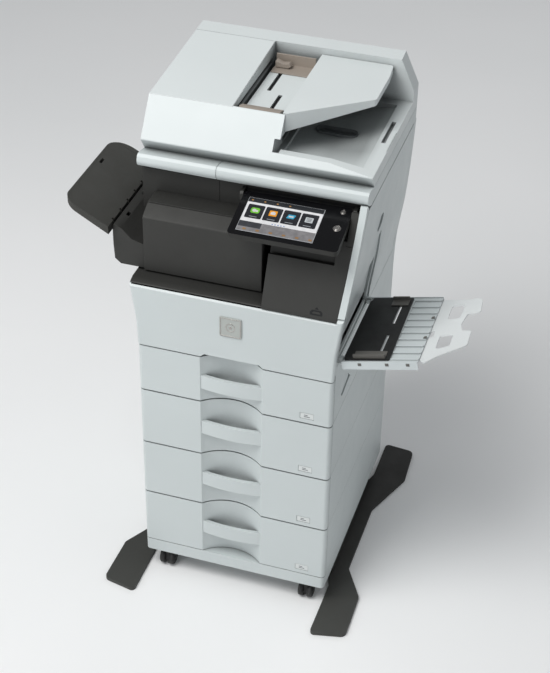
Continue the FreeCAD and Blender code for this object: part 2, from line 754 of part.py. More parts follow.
def scan_carriage():
    carriage = fuse(box(-214, -176, 158, 486, 966, 1014), box(-200, -190, 160, 484, 1013, 1018))
    node("scan_carriage", cut(carriage, box(-206, -184, 164, 480, 1004, 1019),
                              cylinder("x", -215, 300, 984, 4 + FIT, 40),
                              box(-215, -175, 485, 487, 980, 996),
                              box(-215, -175, 480, 490, 987, 996)))


# ================================================================ document feeder
PICK_X, PICK_Z, PICK_SHAFT = -100, 1090, 5
HULL_FRONT, HULL_BACK = (181, 1139), (505, 1158)    # ends of the sloping top: (y, z)


def hull_top(y):
    rise, run = HULL_BACK[1] - HULL_FRONT[1], HULL_BACK[0] - HULL_FRONT[0]
    return HULL_FRONT[1] + (y - HULL_FRONT[0]) * float(rise) / run


def adf_base():
    """Platen cover and feeder body in one hull."""
    half = TOP_HALF_WIDTH.mm
    hull = prism_x([(145, 1033.2), (126, 1061), HULL_FRONT, HULL_BACK, (507, 1033.2)],
                   -half, half)
    dish = rod("y", 126, 158, 1062 + 405, 420, 284)
    oval = rod("z", 90, 308, 1042, 15, 20).fuse(
        [rod("z", 150, 308, 1042, 15, 20), block(90, 150, 293, 323, 1042, 1062)])
    cover_seat = [(180.5, hull_top(180.5) - 9), (462.5, hull_top(462.5) - 9),
                  (462.5, 1200), (180.5, 1200)]
    hull = carve(
        hull,
        prism_y([(243.01, 1088), (243.01, 1170), (205, 1170), (211, 1159)], 100, 520),
        block(45, 260, 154, 464, 1062, 1200),
        # the right part of the front rim is lower than the hull
        prism_y([(45, 1076), (150, 1075), (244, 1062), (244, 1200), (45, 1200)], 100, 154.5),
        block(33, 46, 138, 464, 1062, 1098.5),
        block(33, 46, 100, 138.1, 1076, 1098.5),
        # concave exit floor with an oval hollow, and two dips at the right rim
        dish.common(block(46, 214, 158, 442, 1040, 1080)),
        oval,
        block(222, 231, 272, 366, 1052, 1070),
        block(241.4, 244, 238, 320, 1060, 1064.5),
        # throat and well under the feeder cover
        block(-64, 46, 183, 464, 1110, 1200),
        block(-233, -70, 192, 455, 1046, 1200),
        block(-71, 46, 205, 445, 1064, 1078),
        block(-71, -60, 205, 445, 1113, 1126),
        block(-64.5, -56, 186, 461, 1086, 1112),
        rod("y", PICK_X, 186, PICK_Z, PICK_SHAFT + FIT.mm, 275),
        # seat for the feeder cover
        prism_x(cover_seat, -244, -64.5),
        # closed hollow under the throat
        block(-50, 40, 190, 455, 1037, 1058))
    chin_edges = [edge for edge in hull.Edges
                  if edge.BoundBox.XLength > 400
                  and abs((edge.BoundBox.YMin + edge.BoundBox.YMax) / 2 - 126) < 2]
    feature("adf_base", rounded(hull, 4, chin_edges))


def adf_feeder_cover():
    """Top skin over the feed well, with ribs under it."""
    front, back, hollow_front, hollow_back = 181, 462, 190, 455
    cover = prism_x([(front, hull_top(front) - 8.7), (back, hull_top(back) - 8.7),
                     (back, hull_top(back)), (front, hull_top(front))],
                    -TOP_HALF_WIDTH.mm, -65)
    cover = cover.cut(prism_x([(hollow_front, hull_top(hollow_front) - 10),
                               (hollow_back, hull_top(hollow_back) - 10),
                               (hollow_back, hull_top(hollow_back) - 3.5),
                               (hollow_front, hull_top(hollow_front) - 3.5)], -234, -74))
    for x in (-200, -160, -120):
        cover = cover.fuse(block(x, x + 3, 200, 445, 1134, 1139))
    feature("adf_feeder_cover", cover)


def adf_pick_roller():
    node("adf_pick_roller", fuse(cylinder("y", PICK_X, 186.5, PICK_Z, PICK_SHAFT, 274),
                                 cylinder("y", PICK_X, 290, PICK_Z, 14, 50)))


def adf_tray():
    """Low guide bed over the throat and a raised table to its right."""
    outline = [(45.5, 181.5, 0), (201, 301, 10), (201, 410, 0), (196, 462.5, 8), (45.5, 462.5, 0)]
    table = prism_z(outline, 1098, 1141)
    table = table.cut(prism_y([(44, 1097), (44, 1101), (202, 1127), (202, 1097)], 100, 500))
    tray = table.fuse(blocks((-55.5, 46, 184.5, 462.5, 1111, 1114),
                             (40, 46, 184.5, 462.5, 1112, 1141)))
    slots = blocks((-5.5, 0.5, 204, 304, 1110, 1115), (-35, -29, 318, 412, 1110, 1115))
    feature("adf_tray", carve(tray, *slots))


def adf_guides():
    """Two paper guides with tongues in the slots of the bed."""
    front = prism_x([(187, 1114.2), (187, 1137.5), (192, 1138.5), (211, 1132.5),
                     (214, 1129), (214, 1114.2)], -54, 33)
    front = front.cut(prism_x([(190.5, 1110), (190.5, 1131), (210.5, 1126),
                               (210.5, 1117), (211, 1110)], -51, 30))
    feature("adf_guide_front", front.fuse(blocks((-4.5, -0.5, 206, 214, 1111.5, 1118),
                                                 (-4.5, -0.5, 190, 214, 1114.2, 1118))))
    rear = block(-54, 33, 398, 444, 1114.2, 1116.5)
    feature("adf_guide_rear", rear.fuse(blocks((-54, 33, 440, 444, 1114.2, 1139),
                                               (-34, -30, 400, 408, 1111.5, 1116.5))))


# ================================================================ finisher
def finisher_case():
    left, right = FINISHER_LEFT.mm, FINISHER_RIGHT.mm
    outside = [(52.5, 801), (52.5, 930), (78, 942.5), (78, 949), (124.5, 949), (124.5, 801)]
    inside = [(56, 806), (56, 926), (82, 939), (121, 944), (121, 806)]
    feature("finisher_case", carve(prism_x(outside, left, right),
                                   prism_x(inside, left + 4, right - 4),
                                   block(left + 8, right - 8, 40, 60, 812, 920),
                                   block(left - 1, left + 5, 66, 118, 850, 896)))


def finisher_door():
    profile = [(45, 802.5), (45, 928), (47.5, 932), (77, 946.5), (77, 943.2), (50.5, 930),
               (49, 927), (49, 802.5)]
    feature("finisher_door", prism_x(profile, FINISHER_LEFT.mm, FINISHER_RIGHT.mm))


TRAY_HOOKS = (98, 188)                      # front ends of the wing slots for the tray hooks


def finisher_wing():
    """Hollow wing left of the finisher that carries the output tray."""
    left = FINISHER_LEFT.mm
    outside = [(left - 0.5, 803), (-266, 803), (-279, 814), (-281, 850), (-281, 893.5),
               (-278, 897), (-262, 890), (-240, 868), (left - 0.5, 860)]
    inside = [(left - 2, 807), (-265, 807), (-275.5, 816), (-277.5, 850), (-277.5, 891),
              (-276, 893), (-263, 885.5), (-240, 863.5), (left - 2, 855.5)]
    slots = [block(-284, -264, y, y + 14, 812, 893.5) for y in TRAY_HOOKS]
    feature("finisher_wing", carve(prism_y(outside, 50, 250), prism_y(inside, 54, 246), *slots))


def output_tray():
    """Tray rising to the left, with a sunken floor and two hooks."""
    plan = [(-282, 30, 0), (-378, 30, 26), (-378, 306, 46), (-282, 306, 0)]
    slab = [(-282, 883), (-282, 901.5), (-378.5, 952.6), (-378.5, 938)]
    floor = [(-290, 905.4), (-374, 949.9), (-374, 990), (-290, 990)]
    tray = prism_z(plan, 840, 980).common(prism_y(slab, 20, 320))
    notches = [block(-285.5, -281, 58 + 40 * k, 64 + 40 * k, 895, 910) for k in range(6)]
    tray = carve(tray, prism_y(floor, 42, 292), *notches, block(-369, -364, 196, 214, 930, 960))
    hooks = [block(-290, -271, y + 2.5, y + 11.5, 881.5, 892) for y in TRAY_HOOKS]
    feature("output_tray", tray.fuse(hooks))


# ================================================================ control panel
# Panel frame: origin on the pivot line, y up the slab, z out of its face.
PANEL_PLACEMENT = Placement(
    Vector(PANEL_PIVOT[0], PANEL_PIVOT[1] - ORIGIN_BACK.mm, PANEL_PIVOT[2]),
    Rotation(Vector(1, 0, 0), PANEL_TILT.mm))
PANEL_BACK = -5
PANEL_FACE = PANEL_HEIGHT + PANEL_BACK
SCREEN = (-98.5, 59.5, -104, -10)           # recess: x0, x1, y0, y1
SCREEN_THICK = 1.6
# Keys: label, x, y, radius
KEYS = [("home_key", 95, -54, 6.5), ("power_key", 95, -8, 4.0)]


def panel_body(label):
    body = new_body(label)
    body.Placement = PANEL_PLACEMENT
    return body


def control_panel():
    panel = panel_body("control_panel")
    outline = rectangle(-PANEL_WIDTH * 0.5, PANEL_WIDTH * 0.5, -PANEL_LENGTH + 6, 6)
    pad(panel, sketch_on(panel, "z", PANEL_BACK, outline), PANEL_HEIGHT)
    body_fillet(panel, CORNER_RADIUS, lambda middle, chord, edge: along(chord, "z"))
    pocket(panel, sketch_on(panel, "z", PANEL_FACE, rectangle(*SCREEN)), SCREEN_THICK)
    for _, x, y, radius in KEYS:
        pocket(panel, sketch_on(panel, "z", PANEL_FACE, circles=[(x, y, radius + 0.3)]), 6)
    pin = [(0, 0, PIN_RADIUS)]
    pad(panel, sketch_on(panel, "x", PANEL_WIDTH * 0.5 - 1, circles=pin), 7)
    pad(panel, sketch_on(panel, "x", -PANEL_WIDTH * 0.5 + 1, circles=pin), 7, reverse=True)


def touch_screen():
    gap = 0.2
    x0, x1, y0, y1 = SCREEN
    screen = panel_body("touch_screen")
    outline = rectangle(x0 + gap, x1 - gap, y0 + gap, y1 - gap)
    pad(screen, sketch_on(screen, "z", PANEL_FACE - SCREEN_THICK, outline), SCREEN_THICK)


def keys():
    for label, x, y, radius in KEYS:
        key = panel_body(label)
        pad(key, sketch_on(key, "z", PANEL_FACE - 4.5, circles=[(x, y, radius)]), 5.3)
        body_fillet(key, 0.6, lambda middle, chord, edge:
                    edge.Curve.TypeId == "Part::GeomCircle" and middle.z > PANEL_FACE.mm)


# ================================================================ side door
def side_door():
    """Flared door with a recess for the bypass tray and an oval grip."""
    pivot_x, pivot_z = BYPASS_PIVOT
    outline = [(20.7, 673), (20.7, 801.3), (110.5, 996.5), (490.2, 996.5), (490.2, 673)]
    door = side_skin(1, 673, 996.5, 0, 520, 8).common(prism_x(outline, 190, 250))
    door = door.cut(side_skin(1, 679, 858, 21, 270, 4, -0.5))
    door = door.fuse(side_skin(1, 704, 802, 27, 255.5, 4.6, 6.0))
    grip = Part.Face(Part.Wire(Part.Ellipse(Vector(0, 0, 0), 24, 14).toShape()))
    grip = grip.extrude(Vector(0, 0, 12))
    grip.rotate(Vector(0, 0, 0), Vector(0, 1, 0), 90)
    grip.rotate(Vector(0, 0, 0), Vector(1, 0, 0), 110)
    grip.translate(Vector(233.5, 246.6, 891))
    door = carve(door, side_skin(1, 706, 800, 29, 253.5, 9.3, -0.5),
                 block(190, 250, 29, 253.5, 688, 708), grip)
    # lugs for the bypass tray's pins
    for y in (24.2, 252.2):
        lug = [(y, 678), (y + 5.6, 678), (y + 5.6, 692), (y, 692)]
        door = door.fuse(prism_x(lug, 208, 226.5))
    pin_bore = rod("y", pivot_x, 20, pivot_z, PIN_RADIUS + FIT.mm, 242)
    feature("side_door", door.cut(pin_bore))


# ================================================================ bypass tray
# Tray frame: origin on the pivot line, x out along the rising tray, z out of its upper face,
# y still measured from the drawer fronts.
def bypass_feature(label, shape):
    feature(label, shape, Rotation(Vector(0, 1, 0), -BYPASS_TILT.mm),
            Vector(BYPASS_PIVOT[0], -ORIGIN_BACK.mm, BYPASS_PIVOT[1]))


def guide_slots(x0, x1, z0, z1):
    """Slots that let the paper guides run across the tray."""
    return blocks((x0, x1, 44, 118, z0, z1), (x0, x1, 160, 242, z0, z1))


def bypass_tray():
    tray = block(4, 104, 33, 249, -3, 0)
    tray = tray.fuse(blocks((100, 164, 19, 263, -3.6, -1.4),
                            (3, 164, 18, 20, -17, 1.4),
                            (9, 164, 20, 33, -3, 0),
                            (9, 164, 249, 262, -3, 0),
                            (3, 164, 262, 264, -17, 1.4)))
    for k in range(10):
        y = 30 + k * 24.6
        tray = tray.fuse(block(105, 163, y - 2.2, y + 2.2, -1.6, 1.5))
    # hinge lugs, full height only around the pivot
    for y0, y1 in ((31, 37), (245.5, 251)):
        above = block(-5, 13, 0, 300, 0.0, 5).cut(block(-5, 5, 0, 300, 0, 5))
        tray = tray.fuse(block(-3.5, 12, y0, y1, -4, 4).cut(above))
    tray = tray.fuse([rod("y", 0, y, 0, PIN_RADIUS, 8) for y in (24.5, 249.5)])
    tray = carve(tray, *guide_slots(76.5, 80.5, -5, 2))
    # bars under the extension
    bypass_feature("bypass_tray", tray.fuse(blocks((112, 120, 19, 263, -9.6, -7.2),
                                                   (150, 158, 19, 263, -9.6, -7.2))))


def bypass_lift_plate():
    plate = prism_z([(5.5, 25, 0), (104, 25, 3), (100, 259, 3), (5.5, 259, 0)], 0.05, 2.0)
    corner_notches = blocks((0, 7, 28, 40, -1, 3), (0, 7, 242.5, 254, -1, 3),
                            (0, 9.6, 20, 31.5, -1, 3), (0, 9.6, 250.5, 262, -1, 3))
    bypass_feature("bypass_lift_plate",
                   carve(plate, *guide_slots(75.5, 81.5, -1, 3), *corner_notches))


def bypass_guides():
    """Angle-shaped guides with a tongue in the slots; inward is the y sense to the middle."""
    for label, outer_y, inward, start in (("bypass_guide_front", 30.0, 1, 26),
                                          ("bypass_guide_rear", 252.0, -1, 57)):
        def span(near, far):
            return sorted((outer_y + inward * near, outer_y + inward * far))

        guide = block(start, 94, *span(0, 4), 2.2, 11)
        guide = guide.fuse(block(start, 94, *span(0, 24), 2.2, 4.4))
        bypass_feature(label, guide.fuse(block(76.9, 80.1, *span(16, 23), -2.6, 2.5)))


# Extension plate in plan: (x, y, corner radius)
EXTENSION = [(92, 42, 2), (158, 42, 4), (174.5, 24.5, 5), (196.8, 49.5, 14), (250.5, 90, 12),
             (248.4, 144.3, 6), (228.2, 142.4, 6), (222, 168, 12), (227.4, 205.6, 6),
             (253.4, 213.9, 6), (247.4, 274, 14), (222, 261.5, 30), (190, 260.5, 20),
             (165.5, 259, 4), (160, 240, 4), (92, 240, 2)]
EXTENSION_OPENINGS = [
    [(187, 74, 5), (214.5, 87, 5), (214, 128, 5), (187, 122, 5)],
    [(189, 183, 5), (214.3, 191.2, 5), (215.1, 241.2, 5), (188.4, 235.2, 5)],
    [(163.5, 112, 2), (173, 122, 2), (173, 142, 2), (165, 138, 2)]]


def bypass_extension():
    openings = [prism_z(corners, -10, 0) for corners in EXTENSION_OPENINGS]
    bypass_feature("bypass_extension", carve(prism_z(EXTENSION, -6.8, -4.2), *openings))


# ================================================================ engine inside
DRUM_X, DRUM_Z = 138, 728
FUSER_X, FUSER_Z = 138, 842
FUSER_SPACING = 24.3                        # between the two fuser rollers
SHAFT_RADIUS = 4


def laser_and_toner():
    laser = fuse(box(-170, 60, 150, 440, 740, 772), box(60, 84, 170, 300, 746, 762))
    node("laser_unit", cut(laser, box(-160, 50, 160, 430, 768, 773)))
    node("toner_cartridge", fuse(box(-70, 60, 60, 380, 670, 722),
                                 cylinder("y", -40, 60, 722, 18, 320),
                                 box(-30, 20, 48, 61, 680, 700)))


def drum():
    left, right = 104, 168
    carrier = fuse(box(left, right, 34, 39, 690, 766), box(left, right, 275, 280, 690, 766),
                   box(left, right, 34, 280, 766, 771), box(left, 110, 38, 276, 690, 706))
    node("drum_unit", cut(carrier, cylinder("y", DRUM_X, 30, DRUM_Z, SHAFT_RADIUS + FIT, 260)))
    node("photo_drum", fuse(cylinder("y", DRUM_X, 35, DRUM_Z, SHAFT_RADIUS, 244),
                            cylinder("y", DRUM_X, 41, DRUM_Z, 15, 232)))


def fuser():
    rollers = (("fuser_heat_roller", FUSER_X), ("fuser_press_roller", FUSER_X + FUSER_SPACING))
    bores = [cylinder("y", x, 40, FUSER_Z, SHAFT_RADIUS + FIT, 260) for _, x in rollers]
    node("fuser_case", cut(box(108, 196, 46, 290, 812, 870), box(112, 192, 52, 284, 816, 866),
                           box(107, 197, 60, 276, 838, 848), *bores))
    for label, x in rollers:
        node(label, fuse(cylinder("y", x, 46.5, FUSER_Z, SHAFT_RADIUS, 243),
                         cylinder("y", x, 54, FUSER_Z, ROLLER_RADIUS, 228)))


def electronics():
    node("power_supply", cut(box(-190, -60, 450, 494, 680, 780),
                             box(-180, -70, 449, 452, 690, 770)))
    # board and the components on its front face
    node("main_board", fuse(box(0, 170, 488, 490, 690, 880), box(20, 60, 484, 489, 720, 760),
                            box(90, 130, 484, 489, 800, 830), box(30, 45, 480, 489, 800, 860),
                            box(110, 150, 478, 489, 710, 730)))


# ================================================================ build, check, export
for build in (base_plinth, casters, stabilizers, feeder_cases, drawers, main_frame,
              left_cover, right_cover, rear_cover, case_screws, front_cover, badge_plate,
              inner_cover, right_fascia, scanner_housing, platen_glass, scan_carriage,
              adf_base, adf_feeder_cover, adf_pick_roller, adf_tray, adf_guides,
              finisher_case, finisher_door, finisher_wing, output_tray,
              control_panel, touch_screen, keys, side_door,
              bypass_tray, bypass_lift_plate, bypass_guides, bypass_extension,
              laser_and_toner, drum, fuser, electronics):
    build()

doc.recompute()
bad = [obj.Name for obj in doc.Objects
       if any(state in ("Invalid", "Error") for state in obj.State)]
if bad:
    raise SystemExit("failed objects: " + ", ".join(bad))
for obj in nodes:
    if obj.Shape.isNull() or not obj.Shape.isValid() or not obj.Shape.Solids:
        raise SystemExit("bad shape: " + obj.Label)

# the exported origin is on the floor under the middle of the overall box
os.makedirs("parts", exist_ok=True)
for obj in nodes:
    shape = obj.Shape.copy()
    shape.translate(Vector(-ORIGIN_RIGHT.mm, ORIGIN_FRONT.mm, 0))
    shape.exportStep("parts/%s.step" % obj.Label)
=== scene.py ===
"""Looks for an office copier: display, trim, drawer fittings, materials and a studio stage.

Layout numbers are in mm: x runs to the right from the cabinet's centre line, y runs back
from the drawer fronts, z runs up from the floor.
"""

import json
import math

import bmesh
import bpy
from mathutils import Matrix, Vector


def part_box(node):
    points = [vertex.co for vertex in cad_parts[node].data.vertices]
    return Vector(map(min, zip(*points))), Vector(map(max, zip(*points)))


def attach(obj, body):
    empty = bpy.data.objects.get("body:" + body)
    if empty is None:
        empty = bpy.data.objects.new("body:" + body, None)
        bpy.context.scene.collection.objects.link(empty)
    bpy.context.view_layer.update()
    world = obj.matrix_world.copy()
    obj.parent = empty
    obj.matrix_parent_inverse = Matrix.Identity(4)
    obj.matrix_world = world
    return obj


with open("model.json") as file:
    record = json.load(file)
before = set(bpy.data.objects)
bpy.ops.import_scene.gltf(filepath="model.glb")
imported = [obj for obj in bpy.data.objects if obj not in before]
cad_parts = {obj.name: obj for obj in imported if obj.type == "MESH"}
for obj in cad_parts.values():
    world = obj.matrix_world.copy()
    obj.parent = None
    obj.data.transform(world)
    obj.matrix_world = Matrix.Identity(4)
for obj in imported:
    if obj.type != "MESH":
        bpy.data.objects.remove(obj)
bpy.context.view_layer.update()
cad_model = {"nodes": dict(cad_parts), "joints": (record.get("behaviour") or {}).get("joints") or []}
NODES = cad_model["nodes"]
MM = 0.001
SCALE = Matrix.Scale(MM, 4)

# the panel pivot ties the layout to the CAD frame
PIVOT = Vector({q["name"]: q for q in cad_model["joints"]}["control_panel_tilt"]["pos_m"])
PIVOT_X, PIVOT_Y = 99.5, 107.0
OFFSET = Vector((PIVOT.x / MM - PIVOT_X, PIVOT.y / MM - PIVOT_Y, 0.0))
PANEL_TILT = 14     # degrees
PANEL_FACE = 8.0    # panel face above the pivot


# ------------------------------------------------------------------ frames


def place(x, y, z):
    """A layout point in mm, as metres in the CAD frame."""
    return (Vector((x, y, z)) + OFFSET) * MM


def turn(axis, degrees):
    return Matrix.Rotation(math.radians(degrees), 4, axis)


def flat(z=0):
    """Lying frame: local x and y follow the layout, local z counts up from z."""
    return Matrix.Translation(place(0, 0, z)) @ SCALE


def upright(y=0):
    """Standing frame: local y is height, local z points to the front from depth y."""
    return Matrix.Translation(place(0, y, 0)) @ turn("X", 90) @ SCALE


# local x across, y up the slab, z out of the panel face
PANEL_FRAME = Matrix.Translation(PIVOT) @ turn("X", PANEL_TILT) @ SCALE

# ------------------------------------------------------------------ material helpers


def srgb(r, g, b):
    def linear(c):
        c /= 255.0
        return c / 12.92 if c <= 0.04045 else ((c + 0.055) / 1.055) ** 2.4
    return (linear(r), linear(g), linear(b), 1.0)


def scale(colour, k):
    return tuple(min(c * k, 1) for c in colour[:3]) + (1,)


class Mat:
    """A material with one Principled shader, and short calls to build its nodes."""

    def __init__(self, name):
        self.material = bpy.data.materials.new(name)
        self.material.use_nodes = True
        self.tree = self.material.node_tree
        self.tree.nodes.clear()
        out = self.node("ShaderNodeOutputMaterial")
        self.bsdf = self.node("ShaderNodeBsdfPrincipled")
        self.link(self.bsdf.outputs[0], out.inputs[0])
        self.coord = self.node("ShaderNodeTexCoord")

    def node(self, kind, **settings):
        n = self.tree.nodes.new(kind)
        for key, value in settings.items():
            setattr(n, key, value)
        return n

    def link(self, source, target):
        self.tree.links.new(source, target)

    def feed(self, target, value):
        """Link an output socket to the target, or set a plain value."""
        if isinstance(value, bpy.types.NodeSocket):
            self.link(value, target)
        else:
            target.default_value = value

    def surface(self, inputs):
        for key, value in inputs.items():
            self.feed(self.bsdf.inputs[key], value)

    def noise(self, scale, detail=3.0, rough=0.5, vector=None):
        n = self.node("ShaderNodeTexNoise")
        n.inputs["Scale"].default_value = scale
        n.inputs["Detail"].default_value = detail
        n.inputs["Roughness"].default_value = rough
        self.link(vector or self.coord.outputs["Object"], n.inputs["Vector"])
        return n.outputs["Fac"]

    def remap(self, source, to=(0.0, 1.0), span=(0.0, 1.0)):
        """Map the range span onto the range to, clamped."""
        n = self.node("ShaderNodeMapRange")
        n.inputs["From Min"].default_value, n.inputs["From Max"].default_value = span
        n.inputs["To Min"].default_value, n.inputs["To Max"].default_value = to
        self.link(source, n.inputs["Value"])
        return n.outputs[0]

    def mottle(self, scale, to=(0.0, 1.0), span=(0.3, 0.7), detail=3.0, rough=0.5):
        """Noise whose middle values, span, are stretched onto the range to."""
        return self.remap(self.noise(scale, detail, rough), to, span)

    def mix(self, factor, a, b):
        n = self.node("ShaderNodeMix", data_type="RGBA")
        self.feed(n.inputs[6], a)
        self.feed(n.inputs[7], b)
        self.feed(n.inputs[0], factor)
        return n.outputs[2]

    def bump(self, height, distance, strength):
        n = self.node("ShaderNodeBump")
        n.inputs["Strength"].default_value = strength
        n.inputs["Distance"].default_value = distance
        self.link(height, n.inputs["Height"])
        return n.outputs[0]

    def position(self):
        n = self.node("ShaderNodeSeparateXYZ")
        self.link(self.coord.outputs["Object"], n.inputs[0])
        return n.outputs

    def fade(self, position, axis, start, end):
        """0 at start and 1 at end, in layout mm along one axis."""
        span = ((start + OFFSET[axis]) * MM, (end + OFFSET[axis]) * MM)
        return self.remap(position[axis], span=span)


# exit well painted shadow: axis, mm where the shade starts, mm where it is full
WELL_SHADE_FADES = ((0, 227, 190), (0, 58, 128), (1, 153, 240),
              (1, 466, 464), (2, 1076, 1064), (2, 1036, 1040))


def well_shade_mask(m):
    """Product of the fades: the painted shadow of the input tray over the exit well."""
    position = m.position()
    fades = [m.fade(position, *row) for row in WELL_SHADE_FADES]
    mask = fades[0]
    for fade in fades[1:]:
        product = m.node("ShaderNodeMath", operation="MULTIPLY")
        m.link(mask, product.inputs[0])
        m.link(fade, product.inputs[1])
        mask = product.outputs[0]
    return mask


def plastic(name, rgb, rough=0.45, var=0.05, grain=2600, bump=0.35, spec=0.5,
            shade=0.0, reach=0.06, knee=0.85, well=False, rear=None):
    """Moulded plastic: fine grain and flecks, slow colour drift, lighter worn edges, optional
    painted shade.

    var is the colour drift; grain and bump the texture's scale and strength.
    shade paints occlusion shade into corners, gaps and recesses within reach metres, starting at
    occlusion knee.
    well paints the input tray's shadow into the exit well; rear paints shade towards the back as
    (start mm, end mm, darkness).
    """
    m = Mat(name)
    col = srgb(*rgb)
    is_dark = col[0] < 0.2
    c = m.mix(m.mottle(3.5, detail=4), scale(col, 1 - var), scale(col, 1 + var))
    speck = m.mottle(grain * 0.45, span=(0.35, 0.65), detail=2)
    c = m.mix(m.remap(speck, to=(0.0, 0.12)), c, scale(col, 1.25 if is_dark else 0.93))
    geometry = m.node("ShaderNodeNewGeometry")
    wear = m.remap(geometry.outputs["Pointiness"], to=(0, 0.10), span=(0.515, 0.60))
    c = m.mix(wear, c, scale(col, 1.5 if is_dark else 1.12))
    # painted shade: occlusion darkens the colour in corners, gaps and recesses
    if shade:
        ao = m.node("ShaderNodeAmbientOcclusion", samples=6)
        ao.inputs["Distance"].default_value = reach
        corner = m.remap(ao.outputs["AO"], to=(shade, 0.0), span=(0.12, knee))
        c = m.mix(corner, c, scale(col, 0.18))
    if well:
        # painted shadow of the input tray over the exit well floor
        c = m.mix(m.remap(well_shade_mask(m), to=(0.0, 0.60)), c, scale(col, 0.13))
    # painted shade: darker towards the back, where the cabinet shades the feet
    if rear:
        start, end, darkness = rear
        c = m.mix(m.fade(m.position(), 1, start, end), c, scale(col, darkness))
    m.surface({
        "Base Color": c,
        "Roughness": m.mottle(22, to=(rough - 0.07, rough + 0.09), detail=5, rough=0.65),
        "Normal": m.bump(m.noise(grain, detail=2, rough=0.6), distance=0.00012, strength=bump),
        "Specular IOR Level": spec,
        "Coat Roughness": 0.08,
    })
    return m.material


def metal(name, rgb, rough, brushed, bump=0.2):
    """Brushed metal; brushed stretches the streaks, as a scale along x, y and z."""
    m = Mat(name)
    col = srgb(*rgb)
    mapping = m.node("ShaderNodeMapping")
    mapping.inputs["Scale"].default_value = brushed
    m.link(m.coord.outputs["Object"], mapping.inputs["Vector"])
    streak = m.noise(9, detail=6, rough=0.6, vector=mapping.outputs[0])
    middle = (0.3, 0.7)
    m.surface({
        "Base Color": m.mix(m.remap(streak, span=middle), scale(col, 0.82), scale(col, 1.1)),
        "Metallic": 1.0,
        "Roughness": m.remap(streak, to=(rough - 0.08, rough + 0.12), span=middle),
        "Normal": m.bump(streak, distance=0.0001, strength=bump),
    })
    return m.material


def rubber(name, rgb, rough=0.75):
    m = Mat(name)
    col = srgb(*rgb)
    m.surface({
        "Base Color": m.mix(m.mottle(60, span=(0.35, 0.65), detail=5),
                            scale(col, 0.8), scale(col, 1.5)),
        "Roughness": m.mottle(140, to=(rough - 0.12, rough + 0.1)),
        "Normal": m.bump(m.noise(900), distance=0.0002, strength=0.4),
    })
    return m.material


def glow(name, rgb, strength, var=0.06):
    """Lit display layer: emission with fine bands and slow shading of depth var."""
    m = Mat(name)
    col = srgb(*rgb)
    c = m.mix(m.mottle(90, span=(0.35, 0.65), detail=2), scale(col, 1 - var), scale(col, 1 + var))
    wave = m.node("ShaderNodeTexWave", wave_type="BANDS", bands_direction="X")
    wave.inputs["Scale"].default_value = 900
    m.link(m.coord.outputs["Object"], wave.inputs["Vector"])
    c = m.mix(m.remap(wave.outputs["Fac"], to=(0.0, 0.04)), c, (0, 0, 0, 1))
    m.surface({
        "Base Color": m.mix(0.72, c, (0.004, 0.004, 0.005, 1)),
        "Emission Color": c,
        "Emission Strength": strength,
        "Roughness": 0.12,
    })
    return m.material


def panel_material():
    """Dark housing with a polished black face on the side that looks out of the panel."""
    m = Mat("panel_face")
    facing = m.node("ShaderNodeVectorMath", operation="DOT_PRODUCT")
    tilt = math.radians(PANEL_TILT)
    facing.inputs[1].default_value = (0, -math.sin(tilt), math.cos(tilt))
    m.link(m.coord.outputs["Normal"], facing.inputs[0])
    face = m.remap(facing.outputs["Value"], span=(0.93, 0.99))
    c = m.mix(face, srgb(48, 48, 46), srgb(12, 12, 14))
    dust = m.mottle(700, to=(0, 0.35), span=(0.62, 0.72), detail=2)
    c = m.mix(m.remap(dust, to=(0.0, 0.5)), c, srgb(34, 34, 36))
    rough = m.node("ShaderNodeMix", data_type="FLOAT")
    housing = m.mottle(60, to=(0.42, 0.55), detail=4)
    polished = m.mottle(14, to=(0.10, 0.22), span=(0.35, 0.65), detail=5, rough=0.7)
    m.link(face, rough.inputs[0])
    m.link(housing, rough.inputs[2])
    m.link(polished, rough.inputs[3])
    m.surface({
        "Base Color": c,
        "Roughness": rough.outputs[0],
        "Normal": m.bump(m.noise(1600, detail=2), distance=0.00005, strength=0.15),
        "Specular IOR Level": 0.22,
    })
    return m.material


def glass_material():
    m = Mat("platen_glass")
    m.surface({
        "Base Color": m.mix(m.mottle(5), srgb(46, 56, 54), srgb(58, 68, 66)),
        "Roughness": m.mottle(18, to=(0.03, 0.09), span=(0.35, 0.65), detail=6, rough=0.7),
        "Alpha": m.mottle(9, to=(0.42, 0.50), detail=4),
        "Coat Weight": 0.6,
    })
    return m.material


# ------------------------------------------------------------------ materials
# shade, where given, paints occlusion shade into the colour of corners, gaps and recesses
WHITE = plastic("shell_white", (198, 205, 205), rough=0.42, var=0.025, grain=2400, bump=0.25,
                shade=0.85, reach=0.045, knee=0.72)
WHITE_TOP = plastic("feeder_white", (209, 215, 215), rough=0.40, var=0.02, grain=2400, bump=0.22,
                    shade=0.9, reach=0.07, knee=0.66)
DARK = plastic("shell_dark", (52, 52, 50), rough=0.55, var=0.06, grain=1900, bump=0.5,
               spec=0.3, shade=0.7, reach=0.12)
TRAY_DARK = plastic("tray_dark", (58, 58, 55), rough=0.55, var=0.06, grain=1700, bump=0.55,
                    spec=0.3, shade=0.6, reach=0.08)
BLACK = plastic("black_plastic", (26, 26, 26), var=0.1, grain=1700, bump=0.5, spec=0.4)
BIN = plastic("bin_grey", (120, 124, 126), rough=0.5, var=0.06, grain=1500, bump=0.4)
TAUPE = plastic("taupe", (150, 140, 130), rough=0.42, grain=1500)
LIGHT = plastic("bypass_grey", (196, 203, 204), rough=0.35, var=0.04, grain=1600, bump=0.25,
                spec=0.55, shade=0.95, reach=0.012, knee=0.95)
EXTENSION = plastic("extension_grey", (216, 220, 220), rough=0.35, var=0.03, grain=1600,
                    bump=0.2, spec=0.55)
GUIDE = plastic("guide_grey", (92, 90, 86), rough=0.42, var=0.06, grain=1500)
